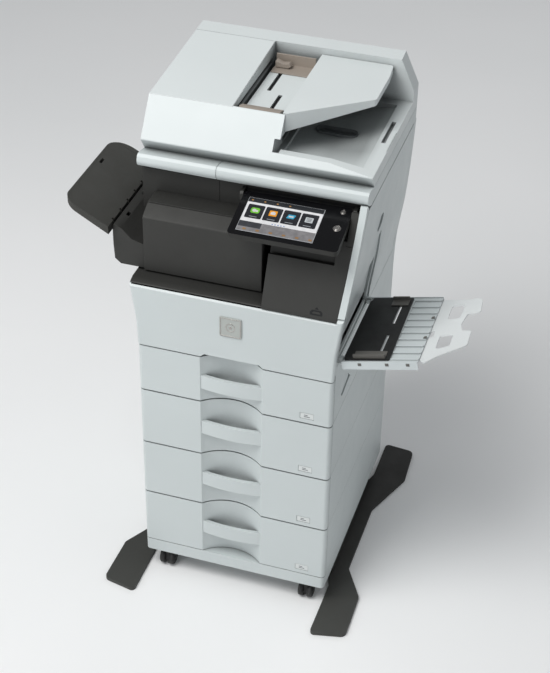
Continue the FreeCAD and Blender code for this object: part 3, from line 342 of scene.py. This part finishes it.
# shade and well paint occlusion shade and the input tray's shadow into this colour
FEEDER = plastic("feeder_base", (206, 212, 212), rough=0.40, var=0.02, grain=2400, bump=0.22,
                 shade=0.95, reach=0.10, knee=0.74, well=True)
STEEL = metal("galvanised", (170, 172, 174), rough=0.42, brushed=(8, 40, 8))
SHAFT = metal("shaft_steel", (190, 190, 190), rough=0.22, brushed=(2, 120, 120))
KEY_METAL = metal("key_metal", (176, 172, 168), rough=0.28, brushed=(120, 120, 4))
# rear paints shade onto the feet, darker towards the back
FOOT = plastic("powder_coat", (66, 67, 64), rough=0.55, var=0.08, grain=1200, bump=0.7,
               spec=0.35, rear=(-150, 450, 0.28))
BADGE = plastic("badge_face", (172, 176, 172), rough=0.34, var=0.04, grain=1500, bump=0.25)
WHEEL = rubber("wheel_rubber", (30, 30, 30), rough=0.55)
RUBBER = rubber("roller_rubber", (60, 60, 62))
BOARD = plastic("circuit_board", (24, 90, 48), rough=0.35, var=0.12, grain=700, bump=0.3)
DRUM = metal("drum_coat", (60, 130, 118), rough=0.12, brushed=(1, 4, 200))
CARD = plastic("paper_card", (214, 218, 217), rough=0.7, var=0.02, grain=900, bump=0.4)
INK = plastic("ink_grey", (92, 96, 100), rough=0.6, var=0.08, grain=900, bump=0.2)
GAP = plastic("shadow_gap", (18, 20, 22), rough=0.8, var=0.1, grain=900, bump=0.3)
FELT = plastic("felt", (60, 66, 70), rough=0.95, var=0.15, grain=420, bump=0.9, spec=0.1)
# painted shade for the oval hollow of the exit floor
HOLLOW_SHADE = plastic("painted_hollow_shade", (86, 90, 91), rough=0.6, var=0.08, grain=900, bump=0.5, spec=0.25)
PAD = plastic("white_mat", (240, 241, 240), rough=0.6, var=0.02, grain=600, bump=0.5)
PANEL = panel_material()
GLASS = glass_material()
SCREEN = glow("screen_back", (214, 218, 222), strength=0.35)

# ------------------------------------------------------------------ CAD pieces


def by_name(groups):
    """Turn (value, "name name ...") groups into a name -> value table."""
    return {name: value for value, names in groups for name in names.split()}


CAD_MATERIALS = by_name((
    (PANEL, "control_panel"), (SCREEN, "touch_screen"), (GLASS, "platen_glass"),
    (STEEL, "main_frame power_supply"), (FOOT, "stabilizers"), (DRUM, "photo_drum"),
    (BOARD, "main_board"), (BADGE, "badge_plate"), (SHAFT, "case_screws"),
    (KEY_METAL, "home_key power_key"), (TRAY_DARK, "output_tray"), (FEEDER, "adf_base"),
    (EXTENSION, "bypass_extension"), (GUIDE, "bypass_guide_front bypass_guide_rear"),
    (WHITE_TOP, "adf_feeder_cover adf_tray"), (DARK, "inner_cover right_fascia"),
    (LIGHT, "bypass_tray"),
    (BLACK, "bypass_lift_plate laser_unit toner_cartridge drum_unit fuser_case scan_carriage"),
))
PREFIX_MATERIALS = (("drawer_bin", BIN), ("caster_fork", BLACK), ("caster_wheels", WHEEL),
                    ("finisher", DARK))
WORD_MATERIALS = (("guide", TAUPE), ("roller", RUBBER))

# moulded edge radii in mm
EDGE_RADII = by_name((
    (2.5, "finisher_wing"), (2.2, "adf_base output_tray"), (1.6, "control_panel"),
    (1.4, "adf_tray"), (1.2, "stabilizers"),
    (1.0, "scanner_housing left_cover finisher_case finisher_door"),
    (0.9, "front_cover side_door right_cover right_fascia base_plinth"),
    (0.8, "adf_feeder_cover rear_cover inner_cover feeder_cases"),
    (0.6, "badge_plate bypass_extension"), (0.4, "bypass_lift_plate"), (0.35, "bypass_tray"),
    (0.3, "home_key power_key photo_drum fuser_heat_roller fuser_press_roller adf_pick_roller"),
    (0.15, "touch_screen case_screws main_board"),
))
PREFIX_RADII = (("drawer_front", 1.1), ("caster_wheels", 0.0))
DEFAULT_RADIUS = 0.5


def cad_material(name):
    if name in CAD_MATERIALS:
        return CAD_MATERIALS[name]
    for prefix, material in PREFIX_MATERIALS:
        if name.startswith(prefix):
            return material
    for word, material in WORD_MATERIALS:
        if word in name:
            return material
    return WHITE


def edge_radius(name):
    for prefix, radius in PREFIX_RADII:
        if name.startswith(prefix):
            return radius
    return EDGE_RADII.get(name, DEFAULT_RADIUS)


def soften(piece, radius):
    """Round a CAD piece's sharp edges with modifiers over its own mesh."""
    for p in piece.data.polygons:
        p.use_smooth = True
    weld = piece.modifiers.new("weld", "WELD")
    weld.merge_threshold = 0.00002
    if radius:
        bevel = piece.modifiers.new("radius", "BEVEL")
        bevel.width = radius * MM
        bevel.segments = 2
        bevel.limit_method = "ANGLE"
        bevel.angle_limit = math.radians(32)
        bevel.use_clamp_overlap = True
        bevel.miter_outer = "MITER_ARC"
    normals = piece.modifiers.new("normals", "WEIGHTED_NORMAL")
    normals.keep_sharp = False
    normals.weight = 60


def dress_cad():
    for name, piece in NODES.items():
        piece.data.materials.clear()
        piece.data.materials.append(cad_material(name))
        soften(piece, edge_radius(name))


# ------------------------------------------------------------------ outlines


def rect(x0, x1, y0, y1):
    return [(x0, y0), (x1, y0), (x1, y1), (x0, y1)]


def rounded(points, radius, steps=5):
    """Closed outline with every corner rounded; tight corners get a smaller radius."""
    out = []
    n = len(points)
    for i in range(n):
        before, corner, after = (Vector(points[q]) for q in (i - 1, i, (i + 1) % n))
        u, w = (before - corner).normalized(), (after - corner).normalized()
        half = math.acos(u.dot(w)) / 2
        cut = min(radius / math.tan(half), 0.49 * (before - corner).length,
                  0.49 * (after - corner).length)
        centre = corner + (u + w).normalized() * (cut * math.tan(half) / math.sin(half))
        start, end = corner + u * cut - centre, corner + w * cut - centre
        sweep = start.angle_signed(end)
        for k in range(steps + 1):
            t = -sweep * k / steps
            out.append(centre + Vector((start.x * math.cos(t) - start.y * math.sin(t),
                                        start.x * math.sin(t) + start.y * math.cos(t))))
    return out


def round_rect(x0, x1, y0, y1, radius, grow=(0, 0)):
    """Rounded rectangle; grow widens it on both sides in x and in y."""
    dx, dy = grow
    return rounded(rect(x0 - dx, x1 + dx, y0 - dy, y1 + dy), radius)


def disc(x, y, radius, n=24):
    angles = [2 * math.pi * k / n for k in range(n)]
    return [(x + radius * math.cos(a), y + radius * math.sin(a)) for a in angles]


def stadium(x0, x1, y, radius, n=14):
    """Oval with half-round ends centred at x0 and x1."""
    arc = [(radius * math.sin(math.pi * k / n), radius * math.cos(math.pi * k / n))
           for k in range(n + 1)]
    return [(x1 + s, y - c) for s, c in arc] + [(x0 - s, y + c) for s, c in arc]


# ------------------------------------------------------------------ solids


def slab(bm, frame, outline, z0, z1, holes=()):
    """Closed slab from an outline, with optional through holes."""
    rings = []
    for points in [outline, *holes]:
        low, high = ([bm.verts.new(frame @ Vector((p[0], p[1], z))) for p in points]
                     for z in (z0, z1))
        rings.append((low, high))
        n = len(points)
        for i in range(n):
            k = (i + 1) % n
            bm.faces.new((low[i], low[k], high[k], high[i]))
    for side in (0, 1):
        if holes:
            edges = [bm.edges.get((r[side][i], r[side][(i + 1) % len(r[side])]))
                     for r in rings for i in range(len(r[side]))]
            bmesh.ops.triangle_fill(bm, use_beauty=True, use_dissolve=False, edges=edges)
        else:
            bm.faces.new(rings[0][side])


def lathe(bm, frame, profile, steps):
    """Turned solid; profile is a list of (radius, height)."""
    rings = []
    for radius, z in profile:
        if radius < 1e-7:
            rings.append([bm.verts.new(frame @ Vector((0, 0, z)))])
        else:
            rings.append([bm.verts.new(frame @ Vector((x, y, z)))
                          for x, y in disc(0, 0, radius, steps)])
    for a, b in zip(rings, rings[1:]):
        for k in range(steps):
            q = (k + 1) % steps
            if len(a) == 1:
                bm.faces.new((a[0], b[k], b[q]))
            elif len(b) == 1:
                bm.faces.new((a[k], b[0], a[q]))
            else:
                bm.faces.new((a[k], b[k], b[q], a[q]))


def link_mesh(name, bm):
    mesh = bpy.data.meshes.new(name)
    bm.to_mesh(mesh)
    bm.free()
    o = bpy.data.objects.new(name, mesh)
    bpy.context.scene.collection.objects.link(o)
    return o


def add(name, bm, material, body, slot, bevel=0.0, smooth=True):
    """Make an object that rides on a body; bevel is in mm."""
    bmesh.ops.recalc_face_normals(bm, faces=bm.faces)
    o = link_mesh(name, bm)
    o.data.materials.append(material)
    if smooth:
        for p in o.data.polygons:
            p.use_smooth = True
    if bevel:
        edge = o.modifiers.new("edge", "BEVEL")
        edge.width = bevel * MM
        edge.segments = 2
        edge.limit_method = "ANGLE"
        edge.angle_limit = math.radians(30)
        normals = o.modifiers.new("normals", "WEIGHTED_NORMAL")
        normals.keep_sharp = False
    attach(o, body)


def add_slabs(name, frame, slabs, *args, **kwargs):
    """One object from slabs given as (outline, z0, z1, hole, ...); the rest goes to add."""
    bm = bmesh.new()
    for outline, z0, z1, *holes in slabs:
        slab(bm, frame, outline, z0, z1, holes)
    add(name, bm, *args, **kwargs)


# ------------------------------------------------------------------ control panel
# display edges in the panel frame
LEFT, RIGHT, BOTTOM, TOP = -97.5, 58.5, -103.0, -11.0
TILE_WIDTH, TILE_PITCH, TILE_MARGIN = 34.6, 37.2, 4.5
# name, colour, icon outline, glyph outlines; both about the icon's centre
ICONS = (
    ("green", (120, 200, 60), round_rect(-9, 9, -7, 8, 4),
     [disc(-2, 0.5, 4.2), round_rect(1, 6, -3, 2, 1)]),
    ("orange", (240, 160, 40), round_rect(-8, 8, -7, 8, 1.2),
     [[(-5, -3), (5, -3), (5, 3), (0, 6), (-5, 3)]]),
    ("blue", (60, 170, 205), rounded([(-9, -5), (6, -5), (9, 6), (-6, 6)], 1),
     [round_rect(-5, 5, -1.5, 2.5, 0.8)]),
    ("grey", (200, 205, 208), round_rect(-8, 8, -7, 7, 1.2),
     [round_rect(-5, 5, -4 + 3.4 * q, -2.6 + 3.4 * q, 0.4) for q in range(3)]),
)


def screen_layer(name, shapes, layer, material):
    """Thin lit shapes; each layer lies just above the one below."""
    first, pitch, thickness = 0.02, 0.14, 0.12
    z = PANEL_FACE + first + pitch * layer
    add_slabs(name, PANEL_FRAME, [(s, z, z + thickness) for s in shapes],
              material, "control_panel", "screen", smooth=False)


def moved(outline, x, y):
    return [(p[0] + x, p[1] + y) for p in outline]


def display_icon(name, rgb, icon, glyphs, x):
    y = TOP - 34.5
    face = glow("display_icon_" + name, rgb, strength=0.6)
    ink = glow("display_glyph_" + name, (232, 232, 232), strength=0.5)
    if name == "grey":
        # the pale ink would not show on this icon
        ink = glow("display_glyph_dark", (110, 114, 120), strength=0.4)
    screen_layer("display_icon_" + name, [moved(icon, x, y)], 2, face)
    screen_layer("display_glyph_" + name, [moved(g, x, y) for g in glyphs], 3, ink)
    screen_layer("display_caption_" + name, [round_rect(x - 8, x + 8, TOP - 52, TOP - 50.4, 0.6)],
                 2, glow("display_caption_" + name, (170, 174, 180), strength=0.4))


def display():
    bar_height = 26
    screen_layer("display_picture", [round_rect(LEFT, RIGHT, BOTTOM, TOP, 1.0)], 0,
                 glow("display_white", (226, 226, 228), strength=0.68))
    screen_layer("display_status_bar", [rect(LEFT, RIGHT, TOP - 12, TOP)], 1,
                 glow("display_top", (46, 48, 52), strength=0.25))
    marks = [LEFT + 6 + k * 26 for k in range(4)]
    screen_layer("display_status_marks", [round_rect(x, x + 4, TOP - 8, TOP - 5, 1) for x in marks],
                 2, glow("display_marks", (200, 150, 90), strength=0.35))
    tiles = [LEFT + TILE_MARGIN + k * TILE_PITCH for k in range(len(ICONS))]
    screen_layer("display_tiles",
                 [round_rect(x, x + TILE_WIDTH, TOP - 56, TOP - 18, 2.5) for x in tiles],
                 1, glow("display_tile", (40, 42, 48), strength=0.28, var=0.2))
    for x, icon in zip(tiles, ICONS):
        display_icon(*icon, x + TILE_WIDTH / 2)
    middle = (LEFT + RIGHT) / 2
    screen_layer("display_page_dots",
                 [disc(middle - 12 + 6 * k, TOP - 63, 1.3, 14) for k in range(5)],
                 1, glow("display_dots", (70, 120, 190), strength=0.6))
    screen_layer("display_lower_bar", [rect(LEFT, RIGHT, BOTTOM, BOTTOM + bar_height)], 1,
                 glow("display_bar", (140, 138, 140), strength=0.50, var=0.15))
    screen_layer("display_lower_left",
                 [rect(LEFT, LEFT + 46, BOTTOM + 11, BOTTOM + bar_height)], 2,
                 glow("display_bar_dark", (72, 74, 80), strength=0.3, var=0.15))
    marks = [LEFT + 12 + k * 27 for k in range(6)]
    screen_layer("display_lower_marks",
                 [round_rect(x, x + 7, BOTTOM + 3, BOTTOM + 7.5, 1) for x in marks],
                 2, glow("display_marks_b", (190, 146, 96), strength=0.3))


# key, y, ring radius, cap profile (radius, height over the face), cap steps
KEYS_X = 95
KEYS = (
    ("home_key", -54, 6.9, [(0, 0.75), (5.4, 0.75), (5.0, 1.5), (3.6, 1.25), (0, 1.1)], 40),
    ("power_key", -8, 4.4, [(0, 0.75), (3.3, 0.75), (3.0, 1.4), (2.1, 1.2), (0, 1.05)], 32),
)


def keys():
    """Bright rings round both keys, then their dished caps."""
    def key_frame(y):
        return PANEL_FRAME @ Matrix.Translation((KEYS_X, y, PANEL_FACE))

    bm = bmesh.new()
    for _, y, r, _, _ in KEYS:
        lathe(bm, key_frame(y), [(r, -0.2), (r + 1.1, -0.2), (r + 1.1, 0.35), (r + 0.5, 0.7),
                                 (r, 0.35), (r, -0.2)], 40)
    add("key_rings", bm, KEY_METAL, "control_panel", "key_metal")
    for key, y, _, profile, steps in KEYS:
        bm = bmesh.new()
        lathe(bm, key_frame(y), profile, steps)
        add(key + "_cap", bm, KEY_METAL, key, "key_metal")


# ------------------------------------------------------------------ drawers


def size_card(i):
    """Card on the drawer front, with two printed lines."""
    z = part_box("drawer_front_%d" % i)[0].z / MM + 10.0
    body = "drawer_%d" % i
    add_slabs("size_card_%d" % i, upright(),
              [(round_rect(147.2, 175.8, z + 1.2, z + 14.8, 1), -1.0, -0.6)],
              CARD, body, "white_shell", smooth=False)
    lines = ((168, 4.8), (163, 8.8))    # right end, height over z
    add_slabs("size_card_mark_%d" % i, upright(),
              [(round_rect(155, x, z + dz, z + dz + 1.8, 0.6), -0.62, -0.45) for x, dz in lines],
              INK, body, "dark_shell", smooth=False)


def drawer_inside(i):
    """Lift plate with three holes, friction pad and paper guides in the bin."""
    low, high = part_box("drawer_bin_%d" % i)
    floor_z = low.z / MM + 3.0
    guide_top = (high.z - low.z) / MM - 22
    body = "drawer_%d" % i
    holes = [round_rect(x, x + 30, 140, 200, 6) for x in (-60, -10, 40)]
    add_slabs("lift_plate_%d" % i, flat(floor_z + 3),
              [(round_rect(-152, 152, 56, 300, 6), 0, 1.2, *holes)],
              STEEL, body, "frame_steel", bevel=0.3, smooth=False)
    add_slabs("friction_pad_%d" % i, flat(floor_z), [(round_rect(96, 134, 150, 190, 3), 4.3, 5.4)],
              FELT, body, "dark_shell", bevel=0.3, smooth=False)
    guides = [round_rect(-60, 60, y, y + 4, 1.5) for y in (308, 50.6)]
    guides.append(round_rect(-180, -165, 120, 240, 3))
    add_slabs("paper_guides_%d" % i, flat(floor_z), [(g, 1.0, guide_top) for g in guides],
              TAUPE, body, "taupe_plastic", bevel=0.6)


# ------------------------------------------------------------------ badge and small marks


def badge():
    low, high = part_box("badge_plate")
    x0, x1 = low.x / MM - OFFSET.x, high.x / MM - OFFSET.x
    z0, z1 = low.z / MM, high.z / MM
    outer = round_rect(x0, x1, z0, z1, 2.5, grow=(-1.5, -1.5))
    inner = round_rect(x0, x1, z0, z1, 2, grow=(-3.2, -3.2))
    add_slabs("badge_rim", upright(), [(outer, 2.15, 2.7, inner)],
              KEY_METAL, "front_cover", "key_metal", bevel=0.2)
    ring, opening, dot = (disc((x0 + x1) / 2, (z0 + z1) / 2, r, 48) for r in (10.5, 8.6, 3.4))
    add_slabs("badge_mark", upright(), [(ring, 2.1, 2.6, opening), (dot, 2.1, 2.6)],
              KEY_METAL, "front_cover", "key_metal", bevel=0.2)


def fascia_mark():
    """Paper-tray mark on the slanted fascia: a tray outline under an arrowhead."""
    slope = 0.4516                  # mm back per mm up
    foot_y, foot_z = 3.5, 803       # a point on the slanted face
    x, z = 172, 809
    frame = (Matrix.Translation(place(x, foot_y + (z - foot_z) * slope, z))
             @ Matrix.Rotation(-math.atan(slope), 4, "X") @ turn("X", 90) @ SCALE)
    tray = rounded([(-13, -8.5), (13, -8.5), (13, -2), (9, 2), (-9, 2), (-13, -2)], 1.5)
    opening = rounded([(-8.5, -5.6), (8.5, -5.6), (8.5, -3.4), (5.5, -1), (-5.5, -1),
                       (-8.5, -3.4)], 0.8)
    arrow = [(-4.2, 3.8), (4.2, 3.8), (0, 8.5)]
    add_slabs("fascia_mark", frame, [(tray, 0.0, 0.35, opening), (arrow, 0.0, 0.35)],
              GAP, "cabinet", "dark_shell", smooth=False)


def panel_gap_shadow():
    # painted shadow: a dark strip on the wall above the control panel's top edge, where the panel
    # shades the wall
    add_slabs("panel_gap_shadow", upright(), [(round_rect(-16, 209, 988.5, 993.5, 2), -124.2, -123.5)],
              GAP, "cabinet", "dark_shell", bevel=0.2)


# ------------------------------------------------------------------ document feeder and bypass
SLOT_WIDTH = 6
GUIDE_SLOTS = [(x, x + SLOT_WIDTH, y0, y1) for x, y0, y1 in ((-5.5, 204, 304), (-35, 318, 412))]
MAT_AREA = (-214, 214, 166, 478)


def guide_slots():
    """Painted shade at the two guide slots of the feeder bed: flush dark sheets around them and on
    their floors.
    """
    add_slabs("slot_shade_rim", flat(),
              [(round_rect(*s, 1.6, grow=(1.2, 1.0)), 1112.6, 1114.03,
                round_rect(*s, 0.3, grow=(0.02, 0))) for s in GUIDE_SLOTS],
              GAP, "document_feeder", "dark_shell")
    add_slabs("slot_floor_shade", flat(),
              [(round_rect(*s, 3, grow=(4, 3)), 1109.2, 1110.03) for s in GUIDE_SLOTS],
              GAP, "document_feeder", "dark_shell")


def exit_hollow():
    """Painted shade in the oval hollow of the exit floor: a dark sheet over its floor and wall."""
    outer, inner = (stadium(90, 150, 308, r) for r in (14.8, 13.9))
    bottom, floor_top, rim = 1042.15, 1043.2, 1052.5
    add_slabs("exit_hollow_painted_shade", flat(),
              [(outer, bottom, floor_top), (outer, floor_top, rim, inner)],
              HOLLOW_SHADE, "document_feeder", "dark_shell", bevel=0.2)


def document_stop():
    """Paper stop on the rear document guide."""
    side = [(-50, 1118), (-22, 1118), (-15, 1123), (-20, 1129), (-34, 1127), (-50, 1133)]
    add_slabs("document_stop", upright(), [(rounded(side, 2), -432, -418)],
              TAUPE, "adf_guide_rear", "taupe_plastic", bevel=0.8)


def bypass_hooks():
    """Hooks at the ends of the bypass ribs, and three small tabs along the front."""
    frame = Matrix.Translation(place(222, 0, 685)) @ turn("Y", -13) @ SCALE
    slabs = [(rounded([(156, y - 4), (163, y - 4), (163, y + 4), (158, y + 2)], 1), 1.6, 3.4)
             for y in (108, 182)]
    slabs += [(round_rect(x, x + 7, 17.2, 17.95, 0.3), -8, -2) for x in (38, 96, 140)]
    add_slabs("bypass_hooks", frame, slabs, GUIDE, "bypass_tray", "dark_shell", bevel=0.2)


def lid_underside():
    """White mat over the platen, and the dark gasket around it."""
    add_slabs("platen_mat", flat(), [(round_rect(*MAT_AREA, 6), 1032.15, 1033.15)],
              PAD, "document_feeder", "white_shell", bevel=0.3)
    add_slabs("lid_gasket", flat(),
              [(round_rect(-236, 236, 155, 498, 5), 1032.1, 1033.1,
                round_rect(*MAT_AREA, 5, grow=(2, 2)))],
              GAP, "document_feeder", "dark_shell", bevel=0.2)


# ------------------------------------------------------------------ rear inlet and casters


def inlet():
    """Power inlet on the rear: frame, floor and three pins."""
    frame = upright(517)
    opening = (104, 144, 568, 592)
    x, z = 124, 580     # centre of the opening
    add_slabs("inlet_frame", frame,
              [(round_rect(*opening, 4, grow=(7, 7)), -0.5, 4, round_rect(*opening, 3))],
              BLACK, "cabinet", "black_plastic", bevel=0.6)
    add_slabs("inlet_floor", frame, [(round_rect(*opening, 3, grow=(1, 1)), 6, 12)],
              BLACK, "cabinet", "black_plastic", bevel=0.5)
    pins = [(x + dx, x + dx, z + dz, z + dz) for dx, dz in ((-9, -3), (9, -3), (0, 5))]
    add_slabs("inlet_pins", frame, [(round_rect(*p, 0.5, grow=(1, 3)), 1, 6.5) for p in pins],
              SHAFT, "cabinet", "screw_steel", bevel=0.2)


# (radius, height out of the wheel's side)
HUB_PROFILE = [(0, -0.6), (12.5, -0.6), (12.5, 0.5), (11.6, 1.0), (9.5, 0.4),
               (4.2, 0.4), (3.6, 1.2), (0, 1.6)]


def caster_hubs(corner):
    low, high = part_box("caster_wheels_" + corner)
    bm = bmesh.new()
    for x, side in ((low.x, -1), (high.x, 1)):
        centre = Matrix.Translation((x, (low.y + high.y) / 2, (low.z + high.z) / 2))
        lathe(bm, centre @ turn("Y", 90 * side) @ SCALE, HUB_PROFILE, 40)
    add("caster_hubs_" + corner, bm, BLACK, "wheels_" + corner, "black_plastic")


# ------------------------------------------------------------------ stage, light, camera


def stage_floor():
    bm = bmesh.new()
    bmesh.ops.create_grid(bm, x_segments=2, y_segments=2, size=30)
    floor = link_mesh("floor", bm)
    floor.location = (0, 0, -0.0004)
    m = Mat("floor_pale")
    m.surface({
        "Base Color": m.mix(m.mottle(0.8), (0.86, 0.87, 0.87, 1), (0.90, 0.905, 0.905, 1)),
        "Roughness": 0.9,
    })
    floor.data.materials.append(m.material)


def area(name, location, aim_z, size, power, colour=(1, 1, 1)):
    """Rectangular light aimed at height aim_z on the origin's axis; metres and watts."""
    light = bpy.data.lights.new(name, "AREA")
    light.shape = "RECTANGLE"
    light.size, light.size_y = size
    light.energy = power
    light.color = colour
    o = bpy.data.objects.new(name, light)
    bpy.context.scene.collection.objects.link(o)
    o.location = location
    aim = Vector((0, 0, aim_z)) - Vector(location)
    o.rotation_euler = aim.to_track_quat("-Z", "Y").to_euler()


def lights():
    area("key_top", location=(-1.2, -1.8, 4.2), aim_z=0.6, size=(2.2, 2.2), power=128,
         colour=(1.0, 0.995, 0.985))
    area("front_fill", location=(-2.2, -3.8, 1.6), aim_z=0.6, size=(2.4, 2.4), power=40,
         colour=(0.97, 0.985, 1.0))
    area("side_fill", location=(3.6, -0.6, 1.6), aim_z=0.6, size=(1.6, 2.4), power=5,
         colour=(0.96, 0.98, 1.0))
    area("back_rim", location=(1.0, 3.4, 3.0), aim_z=0.8, size=(3.0, 1.6), power=18)
    world = bpy.data.worlds.new("studio")
    world.use_nodes = True
    background = world.node_tree.nodes["Background"]
    background.inputs["Color"].default_value = (0.95, 0.97, 1.0, 1)
    background.inputs["Strength"].default_value = 0.33
    bpy.context.scene.world = world


def camera():
    right = (0.95300719, 0.30254438, 0.01562642)
    up = (-0.1898953, 0.55638391, 0.80893555)
    back = (0.23604462, -0.77388878, 0.58768963)
    data = bpy.data.cameras.new("camera")
    cam = bpy.data.objects.new("camera", data)
    bpy.context.scene.collection.objects.link(cam)
    axes = Matrix((right, up, back)).transposed().to_4x4()
    cam.matrix_world = Matrix.Translation(place(840.43, -2465.64, 2604.05)) @ axes
    data.sensor_fit = "VERTICAL"
    data.sensor_height = 36.0
    data.lens = 83.6874294
    data.clip_end = 60
    bpy.context.scene.camera = cam
    view = bpy.context.scene.view_settings
    view.view_transform = "Standard"
    view.look = "None"
    view.exposure = 0.0


# ------------------------------------------------------------------ build
dress_cad()
display()
keys()
for i in (1, 2, 3, 4):
    size_card(i)
    drawer_inside(i)
badge()
fascia_mark()
panel_gap_shadow()
guide_slots()
exit_hollow()
document_stop()
bypass_hooks()
lid_underside()
inlet()
for corner in ("front_left", "front_right", "rear_left", "rear_right"):
    caster_hubs(corner)
stage_floor()
lights()
camera()

bpy.context.view_layer.update()
